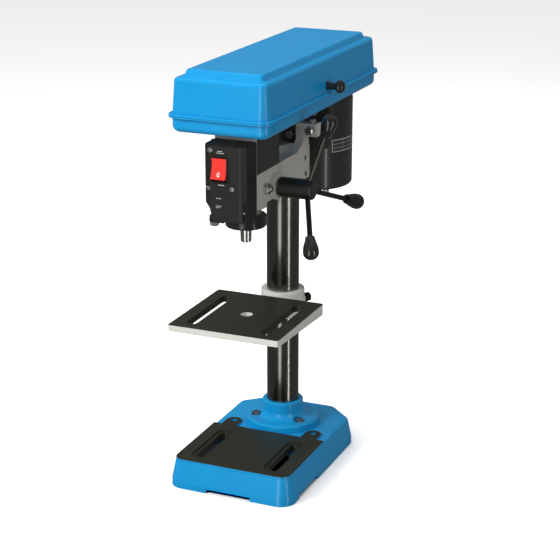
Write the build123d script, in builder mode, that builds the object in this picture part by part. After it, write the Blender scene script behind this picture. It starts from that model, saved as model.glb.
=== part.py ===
from build123d import *
import math
import os

# Five-speed bench drill press, as an assembly of separate pieces.
# Millimetres.  Origin on the column axis at floor level, +X towards the feed
# handles, +Y towards the motor, +Z up.

os.makedirs("parts", exist_ok=True)

# ---------------------------------------------------------------- clearances
FIT = 0.05  # radial gap of pressed, screwed or clamped pieces
RUN = 0.08  # radial gap of shafts, slides and hinges that move
GAP = 0.3  # gap between other surfaces that pass each other

# ------------------------------------------------------------ driving sizes
COLUMN_R = 23.0
COLUMN_WALL = 3.5

BASE_HALF = 86.0
BASE_FRONT = -188.0
BASE_REAR = 77.0
BASE_TOP = 39.0
BASE_WALL = 6.0
BASE_PLATE = 9.0
PAD_RISE = 3.0
SLOT_X = 54.0

FLANGE_R = 53.0
FLANGE_HEIGHT = 11.0
NECK_R = 29.5
NECK_TOP = 75.0
FLANGE_BOLT_CIRCLE = 39.0

TABLE_TOP = 243.7
TABLE_HALF = 80.0
TABLE_FRONT = -205.0
TABLE_REAR = -45.0
TABLE_PLATE = 6.0
BRACKET_R = 31.0
BRACKET_HEIGHT = 38.0
TILT_DROP = 22.0  # tilt axis below the table top

SPINDLE_Y = -126.0
HEAD_BOTTOM = 403.0
HEAD_TOP = 447.0
HEAD_HALF = 29.0
HEAD_FRONT = -157.5
HEAD_REAR = 33.0
HOUSING_R = 28.0
HOUSING_BOTTOM = 396.0
TRAY_BOTTOM = 507.0

QUILL_R = 21.0
QUILL_BOTTOM = 369.0
QUILL_TOP = 477.0
FEED_Z = 419.5
RACK_MODULE = 1.25
PINION_TEETH = 13

GUARD_HALF = 68.0
GUARD_FRONT = -210.0
GUARD_REAR = 189.0
GUARD_CORNER = 13.0
SHEET = 1.5
RIM_OUT = 5.0
RIM_THICK = 2.5
TRAY_RIM = 528.5
LID_SHOULDER = 577.5
LID_CROWN = 586.0

MOTOR_Y = 110.0
MOTOR_R = 57.5
MOTOR_BOTTOM = 373.0
MOTOR_TOP = 504.0
MOTOR_SHAFT_R = 7.0
ROD_X = 39.0
ROD_Z = 474.0
ROD_R = 6.0

PULLEY_BOTTOM = 514.0
STEP_HEIGHT = 11.2
STEP_RADII = (46.0, 41.0, 36.0, 31.0, 26.0)


# -------------------------------------------------------- standard fasteners
def hex_bolt(across, head, shank_r, length):
    """Hexagon-headed bolt: head above the origin, shank below it."""
    with BuildPart() as bolt:
        with BuildSketch():
            RegularPolygon(across / 2, 6, major_radius=False)
        extrude(amount=head)
        chamfer(bolt.faces().sort_by(Axis.Z)[-1].edges(), across * 0.05)
        with BuildSketch():
            Circle(shank_r)
        extrude(amount=-length)
    return bolt.part


def hex_nut(across, height, bore_r, rotation=0):
    """Hexagon nut standing on the origin."""
    with BuildPart() as nut:
        with BuildSketch():
            RegularPolygon(across / 2, 6, major_radius=False, rotation=rotation)
        extrude(amount=height)
        chamfer(nut.faces().sort_by(Axis.Z)[-1].edges(), across * 0.04)
        with BuildSketch():
            Circle(bore_r)
        extrude(amount=height, mode=Mode.SUBTRACT)
    return nut.part


def socket_screw(radius, length, key):
    """Headless screw with a hexagon socket in its upper end, hanging below the origin."""
    with BuildPart() as screw:
        with BuildSketch():
            Circle(radius)
        extrude(amount=-length)
        chamfer(screw.faces().sort_by(Axis.Z)[0].edges(), radius * 0.2)
        with BuildSketch():
            RegularPolygon(key / 2, 6, major_radius=False)
        extrude(amount=-min(length / 2, key), mode=Mode.SUBTRACT)
    return screw.part


def pan_screw(head_r, head, shank_r, length):
    """Cross-head screw: rounded head above the origin, shank below it."""
    with BuildPart() as screw:
        with BuildSketch():
            Circle(head_r)
        extrude(amount=head)
        fillet(screw.faces().sort_by(Axis.Z)[-1].edges(), head * 0.7)
        with BuildSketch(Plane.XY.offset(head)):
            Rectangle(head_r * 1.1, head_r * 0.28)
            Rectangle(head_r * 0.28, head_r * 1.1)
        extrude(amount=-head * 0.6, mode=Mode.SUBTRACT)
        with BuildSketch():
            Circle(shank_r)
        extrude(amount=-length)
    return screw.part


# ------------------------------------------------------------- base casting
BASE_FLARE = 6.0
SKIRT_TOP = 10.0
BASE_DRAFT = math.degrees(math.atan(BASE_FLARE / (BASE_TOP - SKIRT_TOP)))
REAR_CUT_X = 36.0
REAR_CUT_Y = 33.0
BASE_ROUND = 5.0
PAD_REAR = -FLANGE_R - 1
LOBE_X = 62.0
LOBE_Y = -37.0
LOBE_R = 12.0
BENCH_HOLE_R = 4.5
BASE_SLOT_FRONT = -168.0
BASE_SLOT_REAR = -78.0
BASE_SLOT_WIDTH = 13.0
TROUGH_WIDTH = 25.0
TROUGH_DEPTH = 2.0
FOOT_RISE = 5.5
RIB_BOTTOM = 14.0
BOSS_BOTTOM = 20.0
FLANGE_BOLT_R = 3.0
FLANGE_BOLT_HEAD = 10.0
PAD_TOP = BASE_TOP + PAD_RISE
FLANGE_TOP = BASE_TOP + FLANGE_HEIGHT


def base_outline(grow):
    """Plan outline of the base casting, grown outwards by grow."""
    with BuildSketch() as plan:
        with BuildLine():
            Polyline(
                (-BASE_HALF, BASE_FRONT),
                (BASE_HALF, BASE_FRONT),
                (BASE_HALF, BASE_REAR - REAR_CUT_Y),
                (BASE_HALF - REAR_CUT_X, BASE_REAR),
                (REAR_CUT_X - BASE_HALF, BASE_REAR),
                (-BASE_HALF, BASE_REAR - REAR_CUT_Y),
                close=True,
            )
        make_face()
        offset(amount=grow, kind=Kind.INTERSECTION)
        fillet(plan.vertices().filter_by(lambda v: v.Y < 0), 15 + grow)
        fillet(plan.vertices().filter_by(lambda v: v.Y > 0), 14 + grow)
    return plan.sketch


with BuildPart() as base:
    with BuildSketch():
        add(base_outline(BASE_FLARE))
    extrude(amount=SKIRT_TOP)
    with BuildSketch(Plane.XY.offset(SKIRT_TOP)):
        add(base_outline(BASE_FLARE))
    extrude(amount=BASE_TOP - SKIRT_TOP, taper=BASE_DRAFT)
    fillet(base.faces().sort_by(Axis.Z)[-1].edges(), BASE_ROUND)
    # machined pad over the front, with two lobes that reach back to the bench holes
    with BuildSketch(Plane.XY.offset(BASE_TOP - BASE_ROUND)) as pad_plan:
        add(base_outline(0))
        with Locations((0, PAD_REAR)):
            Rectangle(3 * BASE_HALF, 2 * BASE_HALF, align=(Align.CENTER, Align.MIN), mode=Mode.SUBTRACT)
        with Locations((LOBE_X, LOBE_Y), (-LOBE_X, LOBE_Y)):
            Circle(LOBE_R)
            Rectangle(2 * LOBE_R, LOBE_Y - PAD_REAR + 2, align=(Align.CENTER, Align.MAX))
    extrude(amount=BASE_ROUND + PAD_RISE)
    chamfer(base.faces().sort_by(Axis.Z)[-1].edges(), 0.8)
    # hollow underside, with a cross rib and bosses for the flange bolts
    with BuildSketch():
        add(base_outline(-BASE_WALL))
    extrude(amount=BASE_TOP - BASE_PLATE, mode=Mode.SUBTRACT)
    with BuildSketch(Plane.XY.offset(RIB_BOTTOM)):
        with Locations((0, (PAD_REAR + BASE_SLOT_REAR) / 2)):
            Rectangle(2 * BASE_HALF - BASE_WALL, BASE_WALL)
    extrude(amount=BASE_TOP - BASE_PLATE - RIB_BOTTOM)
    with BuildSketch(Plane.XY.offset(BOSS_BOTTOM)):
        with PolarLocations(FLANGE_BOLT_CIRCLE, 3, start_angle=-30):
            Circle(2 * FLANGE_BOLT_R + 1)
    extrude(amount=BASE_TOP - BASE_PLATE - BOSS_BOTTOM)
    # feet are left between shallow arches at the front and at both sides
    with BuildSketch():
        with Locations((0, BASE_FRONT)):
            Rectangle(66, 4 * BASE_FLARE)
        with Locations((0, -125)):
            Rectangle(3 * BASE_HALF, 70)
    extrude(amount=FOOT_RISE, mode=Mode.SUBTRACT)
    # clamping slots in shallow troughs
    with BuildSketch(Plane.XY.offset(PAD_TOP)):
        with Locations(*[(side * SLOT_X, (BASE_SLOT_FRONT + BASE_SLOT_REAR) / 2) for side in (-1, 1)]):
            SlotOverall(BASE_SLOT_REAR - BASE_SLOT_FRONT + 10, TROUGH_WIDTH, rotation=90)
    extrude(amount=-TROUGH_DEPTH, mode=Mode.SUBTRACT)
    with BuildSketch(Plane.XY.offset(PAD_TOP)):
        with Locations(*[(side * SLOT_X, (BASE_SLOT_FRONT + BASE_SLOT_REAR) / 2) for side in (-1, 1)]):
            SlotOverall(BASE_SLOT_REAR - BASE_SLOT_FRONT, BASE_SLOT_WIDTH, rotation=90)
        with Locations((LOBE_X, LOBE_Y), (-LOBE_X, LOBE_Y)):
            Circle(BENCH_HOLE_R)
    extrude(amount=-PAD_TOP, mode=Mode.SUBTRACT)
    # tapped holes under the column flange
    with BuildSketch(Plane.XY.offset(BASE_TOP)):
        with PolarLocations(FLANGE_BOLT_CIRCLE, 3, start_angle=-30):
            Circle(FLANGE_BOLT_R + FIT)
    extrude(amount=-BASE_TOP, mode=Mode.SUBTRACT)
base.part.label = "base"
export_step(base.part, "parts/base.step")

# ------------------------------------------------------------ column flange
NECK_FILLET = 10.0
SPOT_R = 8.0

with BuildPart() as column_flange:
    with BuildSketch(Plane.XZ):
        with BuildLine():
            Polyline(
                (NECK_R, FLANGE_TOP + NECK_FILLET),
                (NECK_R, NECK_TOP - 2),
                (NECK_R - 2, NECK_TOP),
                (COLUMN_R + FIT, NECK_TOP),
                (COLUMN_R + FIT, BASE_TOP),
                (FLANGE_R, BASE_TOP),
                (FLANGE_R, FLANGE_TOP - 3),
                (FLANGE_R - 3, FLANGE_TOP),
                (NECK_R + NECK_FILLET, FLANGE_TOP),
            )
            CenterArc((NECK_R + NECK_FILLET, FLANGE_TOP + NECK_FILLET), NECK_FILLET, 180, 90)
        make_face()
    revolve(axis=Axis.Z)
    with BuildSketch(Plane.XY.offset(FLANGE_TOP)):
        with PolarLocations(FLANGE_BOLT_CIRCLE, 3, start_angle=-30):
            Circle(SPOT_R)
    extrude(amount=NECK_FILLET, mode=Mode.SUBTRACT)
    with BuildSketch(Plane.XY.offset(FLANGE_TOP)):
        with PolarLocations(FLANGE_BOLT_CIRCLE, 3, start_angle=-30):
            Circle(FLANGE_BOLT_R + FIT)
    extrude(amount=-FLANGE_HEIGHT, mode=Mode.SUBTRACT)
column_flange.part.label = "column_flange"
export_step(column_flange.part, "parts/column_flange.step")

with BuildPart() as flange_bolts:
    with Locations(Plane.XY.offset(FLANGE_TOP)):
        with PolarLocations(FLANGE_BOLT_CIRCLE, 3, start_angle=-30):
            add(hex_bolt(FLANGE_BOLT_HEAD, 4.0, FLANGE_BOLT_R, FLANGE_HEIGHT + BASE_PLATE))
flange_bolts.part.label = "flange_bolts"
export_step(flange_bolts.part, "parts/flange_bolts.step")

# ------------------------------------------------------------------- column
COLUMN_TOP = HEAD_TOP - 4.0

with BuildPart() as column:
    with BuildSketch(Plane.XY.offset(BASE_TOP)):
        Circle(COLUMN_R)
        Circle(COLUMN_R - COLUMN_WALL, mode=Mode.SUBTRACT)
    extrude(amount=COLUMN_TOP - BASE_TOP)
    chamfer(column.edges().filter_by(GeomType.CIRCLE).sort_by(SortBy.RADIUS)[-2:], 0.8)
column.part.label = "column"
export_step(column.part, "parts/column.step")

# ------------------------------------------------------------- table bracket
TILT_Z = TABLE_TOP - TILT_DROP
TILT_BOSS_R = 15.0
TILT_BOLT_R = 5.0
TILT_FACE = TABLE_REAR + GAP
TABLE_BOSS_LENGTH = 17.0
CLAMP_ANGLE = 60.0
CLAMP_Z = 220.0
CLAMP_BOSS = 35.0
CLAMP_SCREW_R = 4.0
CLAMP_PLANE = Plane(
    origin=(0, 0, CLAMP_Z),
    z_dir=(math.cos(math.radians(CLAMP_ANGLE)), math.sin(math.radians(CLAMP_ANGLE)), 0),
)
TILT_PLANE = Plane(origin=(0, 0, TILT_Z), x_dir=(1, 0, 0), z_dir=(0, -1, 0))

with BuildPart() as table_bracket:
    with BuildSketch(Plane.XY.offset(TABLE_TOP - BRACKET_HEIGHT)):
        Circle(BRACKET_R)
    extrude(amount=BRACKET_HEIGHT)
    fillet(table_bracket.edges().filter_by(GeomType.CIRCLE), 1.5)
    with BuildSketch(TILT_PLANE):
        Circle(TILT_BOSS_R)
    extrude(amount=-TILT_FACE)
    with BuildSketch(CLAMP_PLANE):
        Circle(2 * CLAMP_SCREW_R)
    extrude(amount=CLAMP_BOSS)
    with BuildSketch(Plane.XY.offset(TABLE_TOP - BRACKET_HEIGHT)):
        Circle(COLUMN_R + RUN)
    extrude(amount=BRACKET_HEIGHT, mode=Mode.SUBTRACT)
    with BuildSketch(TILT_PLANE.offset(-TILT_FACE)):
        Circle(TILT_BOLT_R + FIT)
    extrude(amount=-(-TILT_FACE - COLUMN_R - 4), mode=Mode.SUBTRACT)
    with BuildSketch(CLAMP_PLANE):
        Circle(CLAMP_SCREW_R + RUN)
    extrude(amount=CLAMP_BOSS, mode=Mode.SUBTRACT)
table_bracket.part.label = "table_bracket"
export_step(table_bracket.part, "parts/table_bracket.step")

# the bolt on which the table tilts, screwed into the bracket
TILT_WASHER = 1.6
with BuildPart() as table_tilt_bolt:
    with Locations(TILT_PLANE.offset(-TABLE_REAR + TABLE_BOSS_LENGTH + TILT_WASHER + GAP)):
        add(hex_bolt(16, 6.5, TILT_BOLT_R, TABLE_BOSS_LENGTH + TILT_WASHER + GAP - TABLE_REAR - COLUMN_R - 5))
table_tilt_bolt.part.label = "table_tilt_bolt"
export_step(table_tilt_bolt.part, "parts/table_tilt_bolt.step")

with BuildPart() as tilt_washer:
    with BuildSketch(TILT_PLANE.offset(-TABLE_REAR + TABLE_BOSS_LENGTH + GAP)):
        Circle(2 * TILT_BOLT_R)
        Circle(TILT_BOLT_R + FIT, mode=Mode.SUBTRACT)
    extrude(amount=TILT_WASHER)
tilt_washer.part.label = "tilt_washer"
export_step(tilt_washer.part, "parts/tilt_washer.step")

# hand screw that clamps the bracket to the column
CLAMP_KNOB_R = 6.5
CLAMP_KNOB_LENGTH = 10.0
with BuildPart() as table_clamp_screw:
    with BuildSketch(CLAMP_PLANE.offset(COLUMN_R + GAP)):
        Circle(CLAMP_SCREW_R)
    extrude(amount=CLAMP_BOSS + 2 - COLUMN_R - GAP)
    with BuildSketch(CLAMP_PLANE.offset(CLAMP_BOSS + 2)):
        Circle(CLAMP_KNOB_R)
        with PolarLocations(CLAMP_KNOB_R, 8):
            Circle(1, mode=Mode.SUBTRACT)
    extrude(amount=CLAMP_KNOB_LENGTH)
table_clamp_screw.part.label = "table_clamp_screw"
export_step(table_clamp_screw.part, "parts/table_clamp_screw.step")

# -------------------------------------------------------------------- table
SKIRT_FRONT = 9.0
SKIRT_REAR = 16.0
TABLE_WALL = 5.0
TABLE_SLOT_FRONT = -190.0
TABLE_SLOT_REAR = -66.0
TABLE_SLOT_WIDTH = 15.0
TABLE_HOLE_R = 8.5
TABLE_MID = (TABLE_FRONT + TABLE_REAR) / 2
TABLE_LENGTH = TABLE_REAR - TABLE_FRONT

with BuildPart() as table:
    with BuildSketch(Plane.XY.offset(TABLE_TOP)) as table_plan:
        with Locations((0, TABLE_MID)):
            Rectangle(2 * TABLE_HALF, TABLE_LENGTH)
        fillet(table_plan.vertices(), 3)
    extrude(amount=-SKIRT_REAR)
    with BuildSketch(Plane.XY.offset(TABLE_TOP - TABLE_PLATE)):
        with Locations((0, TABLE_MID)):
            Rectangle(2 * (TABLE_HALF - TABLE_WALL), TABLE_LENGTH - 2 * TABLE_WALL)
    extrude(amount=-SKIRT_REAR, mode=Mode.SUBTRACT)
    # lips beside the slots and a web along the middle
    with BuildSketch(Plane.XY.offset(TABLE_TOP - TABLE_PLATE)):
        with Locations((SLOT_X, TABLE_MID), (-SLOT_X, TABLE_MID)):
            Rectangle(TABLE_SLOT_WIDTH + TABLE_WALL, TABLE_LENGTH - TABLE_WALL)
        with Locations((0, TABLE_MID)):
            Rectangle(TABLE_WALL, TABLE_LENGTH - TABLE_WALL)
    extrude(amount=TABLE_PLATE - SKIRT_FRONT)
    # the skirt deepens from front to rear
    with BuildSketch(Plane.YZ.offset(-TABLE_HALF)):
        with BuildLine():
            Polyline(
                (TABLE_FRONT, TABLE_TOP - SKIRT_FRONT),
                (TABLE_REAR, TABLE_TOP - SKIRT_REAR),
                (TABLE_REAR, TABLE_TOP - 2 * SKIRT_REAR),
                (TABLE_FRONT, TABLE_TOP - 2 * SKIRT_REAR),
                close=True,
            )
        make_face()
    extrude(amount=2 * TABLE_HALF, mode=Mode.SUBTRACT)
    with BuildSketch(TILT_PLANE.offset(-TABLE_REAR)):
        Circle(TILT_BOSS_R)
    extrude(amount=TABLE_BOSS_LENGTH)
    with BuildSketch(TILT_PLANE.offset(-TABLE_REAR)):
        Circle(TILT_BOLT_R + RUN)
    extrude(amount=TABLE_BOSS_LENGTH + TABLE_LENGTH / 10, mode=Mode.SUBTRACT)
    with BuildSketch(Plane.XY.offset(TABLE_TOP)):
        with Locations(*[(side * SLOT_X, (TABLE_SLOT_FRONT + TABLE_SLOT_REAR) / 2) for side in (-1, 1)]):
            SlotOverall(TABLE_SLOT_REAR - TABLE_SLOT_FRONT, TABLE_SLOT_WIDTH, rotation=90)
        with Locations((0, SPINDLE_Y)):
            Circle(TABLE_HOLE_R)
    extrude(amount=-SKIRT_REAR, mode=Mode.SUBTRACT)
table.part.label = "table"
export_step(table.part, "parts/table.step")

# ------------------------------------------------------------- head casting
TOWER_HALF = 25.0
TOWER_REAR = -84.0
TOWER_FLANGE = 8.0
FACE_PLATE = 3.2
POST_IN = 17.0
POST_FRONT = 5.0
POST_TOP = 483.0
LUG_OUT = 48.0
LUG_REAR = 21.0
LUG_BOTTOM = 465.0
PINION_R = RACK_MODULE * PINION_TEETH / 2
PINION_Y = SPINDLE_Y + QUILL_R - RACK_MODULE + PINION_R
PINION_BORE_R = 10.0
FEED_BOSS_R = 18.0
FEED_BOSS_OUT = 36.0
CUP_BOSS_OUT = 33.0
DEPTH_ROD_X = -37.0
DEPTH_ROD_Y = -145.0
DEPTH_ROD_R = 4.0
STOP_BOSS_R = 8.0
STOP_BOSS_BOTTOM = 400.0
STOP_BOSS_TOP = 412.0
SLEEVE_BEARING_R = 17.5
QUILL_BORE_TOP = QUILL_TOP + 3
BEARING_SHELF = QUILL_BORE_TOP + 3
SLEEVE_R = 8.5
GUIDE_Y = -128.0
GUIDE_Z = 423.0
GUIDE_SCREW_R = 4.0
HEAD_SCREW_R = 4.0
HEAD_SCREWS = ((12.0, 433.0), (14.0, 410.0))
FEED_PLANE = Plane(origin=(0, PINION_Y, FEED_Z), x_dir=(0, 1, 0), z_dir=(1, 0, 0))
SIDE_PLANE = Plane(origin=(0, 0, 0), x_dir=(0, 1, 0), z_dir=(1, 0, 0))
TOWER_SCREWS = ((-20.0, -150.0), (20.0, -150.0), (-20.0, -92.0), (20.0, -92.0))
TRAY_SCREW_R = 2.0

with BuildPart() as head_casting:
    with BuildSketch(Plane.XY.offset(HEAD_BOTTOM)) as head_plan:
        with Locations((0, (HEAD_FRONT + HEAD_REAR) / 2)):
            Rectangle(2 * HEAD_HALF, HEAD_REAR - HEAD_FRONT)
        fillet(head_plan.vertices().filter_by(lambda v: v.Y > 0), 8)
    extrude(amount=HEAD_TOP - HEAD_BOTTOM)
    with BuildSketch(Plane.XY.offset(HOUSING_BOTTOM)):
        with Locations((0, SPINDLE_Y)):
            Circle(HOUSING_R)
    extrude(amount=HEAD_TOP - HOUSING_BOTTOM)
    # face plate that carries the switch cover
    with BuildSketch(Plane.XY.offset(HOUSING_BOTTOM)):
        with Locations((0, HEAD_FRONT + FACE_PLATE / 2)):
            Rectangle(2 * HEAD_HALF, FACE_PLATE)
    extrude(amount=TRAY_BOTTOM - HOUSING_BOTTOM)
    # tower and flange under the belt tray
    with BuildSketch(Plane.XY.offset(HEAD_TOP)):
        with Locations((0, (HEAD_FRONT + TOWER_REAR) / 2)):
            Rectangle(2 * TOWER_HALF, TOWER_REAR - HEAD_FRONT)
    extrude(amount=TRAY_BOTTOM - HEAD_TOP)
    with BuildSketch(Plane.XY.offset(TRAY_BOTTOM - TOWER_FLANGE)):
        with Locations((0, (HEAD_FRONT + TOWER_REAR) / 2)):
            Rectangle(2 * HEAD_HALF - 2, TOWER_REAR - HEAD_FRONT)
    extrude(amount=TOWER_FLANGE)
    # rear posts and the lugs that guide the motor rods
    with BuildSketch(Plane.XY.offset(HEAD_TOP)):
        for side in (-1, 1):
            with Locations((side * (POST_IN + HEAD_HALF) / 2, (POST_FRONT + LUG_REAR) / 2)):
                Rectangle(HEAD_HALF - POST_IN, LUG_REAR - POST_FRONT)
    extrude(amount=POST_TOP - HEAD_TOP)
    with BuildSketch(Plane.XY.offset(LUG_BOTTOM)):
        for side in (-1, 1):
            with Locations((side * (POST_IN + LUG_OUT) / 2, (POST_FRONT + LUG_REAR) / 2)):
                Rectangle(LUG_OUT - POST_IN, LUG_REAR - POST_FRONT)
    extrude(amount=POST_TOP - LUG_BOTTOM)
    # sloping webs behind the posts
    for side in (-1, 1):
        with BuildSketch(SIDE_PLANE.offset(side * (POST_IN + HEAD_HALF) / 2)):
            with BuildLine():
                Polyline(
                    (POST_FRONT, HEAD_TOP),
                    (POST_FRONT - 22, HEAD_TOP),
                    (POST_FRONT, HEAD_TOP + 12),
                    (LUG_REAR, POST_TOP - 12),
                    (HEAD_REAR - 8, HEAD_TOP),
                    close=True,
                )
            make_face()
        extrude(amount=(HEAD_HALF - POST_IN) / 2, both=True)
    # bosses of the feed shaft, right and left
    with BuildSketch(FEED_PLANE):
        Circle(FEED_BOSS_R)
    extrude(amount=FEED_BOSS_OUT)
    with BuildSketch(FEED_PLANE):
        Circle(FEED_BOSS_R)
    extrude(amount=-CUP_BOSS_OUT)
    # eye that stops the depth rod
    with BuildSketch(Plane.XY.offset(STOP_BOSS_BOTTOM)):
        with Locations((DEPTH_ROD_X, DEPTH_ROD_Y)):
            Circle(STOP_BOSS_R)
            Rectangle(-DEPTH_ROD_X - HOUSING_R / 2, 1.5 * STOP_BOSS_R, align=(Align.MIN, Align.CENTER))
    extrude(amount=STOP_BOSS_TOP - STOP_BOSS_BOTTOM)
    # quill bore, shelf and bearing seat
    with BuildSketch(Plane.XY.offset(HOUSING_BOTTOM)):
        with Locations((0, SPINDLE_Y)):
            Circle(QUILL_R + RUN)
    extrude(amount=QUILL_BORE_TOP - HOUSING_BOTTOM, mode=Mode.SUBTRACT)
    with BuildSketch(Plane.XY.offset(QUILL_BORE_TOP)):
        with Locations((0, SPINDLE_Y)):
            Circle(SLEEVE_BEARING_R - 3)
    extrude(amount=BEARING_SHELF - QUILL_BORE_TOP, mode=Mode.SUBTRACT)
    with BuildSketch(Plane.XY.offset(BEARING_SHELF)):
        with Locations((0, SPINDLE_Y)):
            Circle(SLEEVE_BEARING_R + FIT)
    extrude(amount=TRAY_BOTTOM - BEARING_SHELF, mode=Mode.SUBTRACT)
    # column socket, closed above, and the hollow between it and the quill
    with BuildSketch(Plane.XY.offset(HEAD_BOTTOM)):
        Circle(COLUMN_R + FIT)
    extrude(amount=COLUMN_TOP + GAP - HEAD_BOTTOM, mode=Mode.SUBTRACT)
    with BuildSketch(Plane.XY.offset(HEAD_BOTTOM)):
        with Locations((0, -53)):
            Rectangle(2 * HEAD_HALF - 14, 42)
    extrude(amount=HEAD_TOP - HEAD_BOTTOM - 7, mode=Mode.SUBTRACT)
    # cross bore of the feed shaft
    with BuildSketch(FEED_PLANE.offset(-CUP_BOSS_OUT)):
        Circle(PINION_BORE_R)
    extrude(amount=CUP_BOSS_OUT + FEED_BOSS_OUT, mode=Mode.SUBTRACT)
    # holes for the depth rod, guide screw, column screws and motor rods
    with BuildSketch(Plane.XY.offset(STOP_BOSS_BOTTOM)):
        with Locations((DEPTH_ROD_X, DEPTH_ROD_Y)):
            Circle(DEPTH_ROD_R + RUN)
    extrude(amount=STOP_BOSS_TOP - STOP_BOSS_BOTTOM, mode=Mode.SUBTRACT)
    with BuildSketch(SIDE_PLANE.offset(QUILL_R / 2)):
        with Locations((GUIDE_Y, GUIDE_Z)):
            Circle(GUIDE_SCREW_R + FIT)
        with Locations(*HEAD_SCREWS):
            Circle(HEAD_SCREW_R + FIT)
    extrude(amount=HEAD_HALF, mode=Mode.SUBTRACT)
    with BuildSketch(Plane.XZ.offset(-POST_FRONT)):
        with Locations((ROD_X, ROD_Z), (-ROD_X, ROD_Z)):
            Circle(ROD_R + RUN)
    extrude(amount=POST_FRONT - LUG_REAR, mode=Mode.SUBTRACT)
    with BuildSketch(Plane.XY.offset(ROD_Z)):
        with Locations((ROD_X, (POST_FRONT + LUG_REAR) / 2), (-ROD_X, (POST_FRONT + LUG_REAR) / 2)):
            Circle(2.5 + FIT)
    extrude(amount=POST_TOP - ROD_Z, mode=Mode.SUBTRACT)
    with BuildSketch(Plane.XY.offset(TRAY_BOTTOM)):
        with Locations(*TOWER_SCREWS):
            Circle(TRAY_SCREW_R + FIT)
    extrude(amount=-12, mode=Mode.SUBTRACT)
head_casting.part.label = "head_casting"
export_step(head_casting.part, "parts/head_casting.step")

with BuildPart() as column_set_screws:
    for screw_y, screw_z in HEAD_SCREWS:
        with Locations(SIDE_PLANE.offset(HEAD_HALF - 1.5)):
            with Locations((screw_y, screw_z)):
                add(socket_screw(HEAD_SCREW_R, HEAD_HALF - 1.5 - COLUMN_R + 1, 4))
column_set_screws.part.label = "column_set_screws"
export_step(column_set_screws.part, "parts/column_set_screws.step")

with BuildPart() as rod_lock_screws:
    with Locations(*[(side * ROD_X, (POST_FRONT + LUG_REAR) / 2, POST_TOP + 2) for side in (-1, 1)]):
        add(hex_bolt(8, 3.5, 2.5, POST_TOP + 2 - ROD_Z - ROD_R - GAP))
rod_lock_screws.part.label = "rod_lock_screws"
export_step(rod_lock_screws.part, "parts/rod_lock_screws.step")

# ---------------------------------------------------- shroud over the tower
SHROUD_OUT = HEAD_HALF + 0.5
SHROUD_SHEET = 1.2
SHROUD_FRONT = HEAD_FRONT + FACE_PLATE + 0.1
SHROUD_REAR = TOWER_REAR + 2.0

with BuildPart() as tower_shroud:
    with BuildSketch(Plane.XY.offset(HEAD_TOP + 0.1)):
        with Locations((0, SHROUD_FRONT)):
            Rectangle(2 * SHROUD_OUT, SHROUD_REAR - SHROUD_FRONT, align=(Align.CENTER, Align.MIN))
            Rectangle(
                2 * (SHROUD_OUT - SHROUD_SHEET),
                SHROUD_REAR - SHROUD_FRONT - SHROUD_SHEET,
                align=(Align.CENTER, Align.MIN),
                mode=Mode.SUBTRACT,
            )
    extrude(amount=TRAY_BOTTOM - HEAD_TOP - 1)
    # the upper front corner is cut back from the casting's flange
    with BuildSketch(SIDE_PLANE.offset(-SHROUD_OUT)):
        with BuildLine():
            Polyline(
                (SHROUD_FRONT - 1, TRAY_BOTTOM),
                (SHROUD_FRONT - 1, TRAY_BOTTOM - 16),
                (SHROUD_FRONT + 27, TRAY_BOTTOM),
                close=True,
            )
        make_face()
    extrude(amount=2 * SHROUD_OUT, mode=Mode.SUBTRACT)
tower_shroud.part.label = "tower_shroud"
export_step(tower_shroud.part, "parts/tower_shroud.step")

# ------------------------------------------------------------- switch cover
COVER_HALF = 30.0
COVER_FRONT = -193.0
COVER_TOP = 492.0
COVER_BOTTOM = 391.0
COVER_WALL = 2.5
COVER_CORNER = 10.0
SWITCH_X = -6.5
SWITCH_Z = 460.5
SWITCH_HALF = 10.5
SWITCH_TALL = 15.7
COVER_SCREWS = ((-19.5, 485.0), (11.0, 436.0))
COVER_SCREW_R = 2.0
FRONT_PLANE = Plane(origin=(0, COVER_FRONT, 0), x_dir=(1, 0, 0), z_dir=(0, -1, 0))


def cover_plan(inset):
    """Plan of the switch cover, open at the back, moved in by inset."""
    with BuildSketch() as plan:
        with Locations((0, COVER_FRONT + inset)):
            Rectangle(
                2 * (COVER_HALF - inset), HEAD_FRONT - COVER_FRONT - inset, align=(Align.CENTER, Align.MIN)
            )
        fillet(plan.vertices().group_by(Axis.Y)[0], COVER_CORNER - inset)
    return plan.sketch


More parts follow.
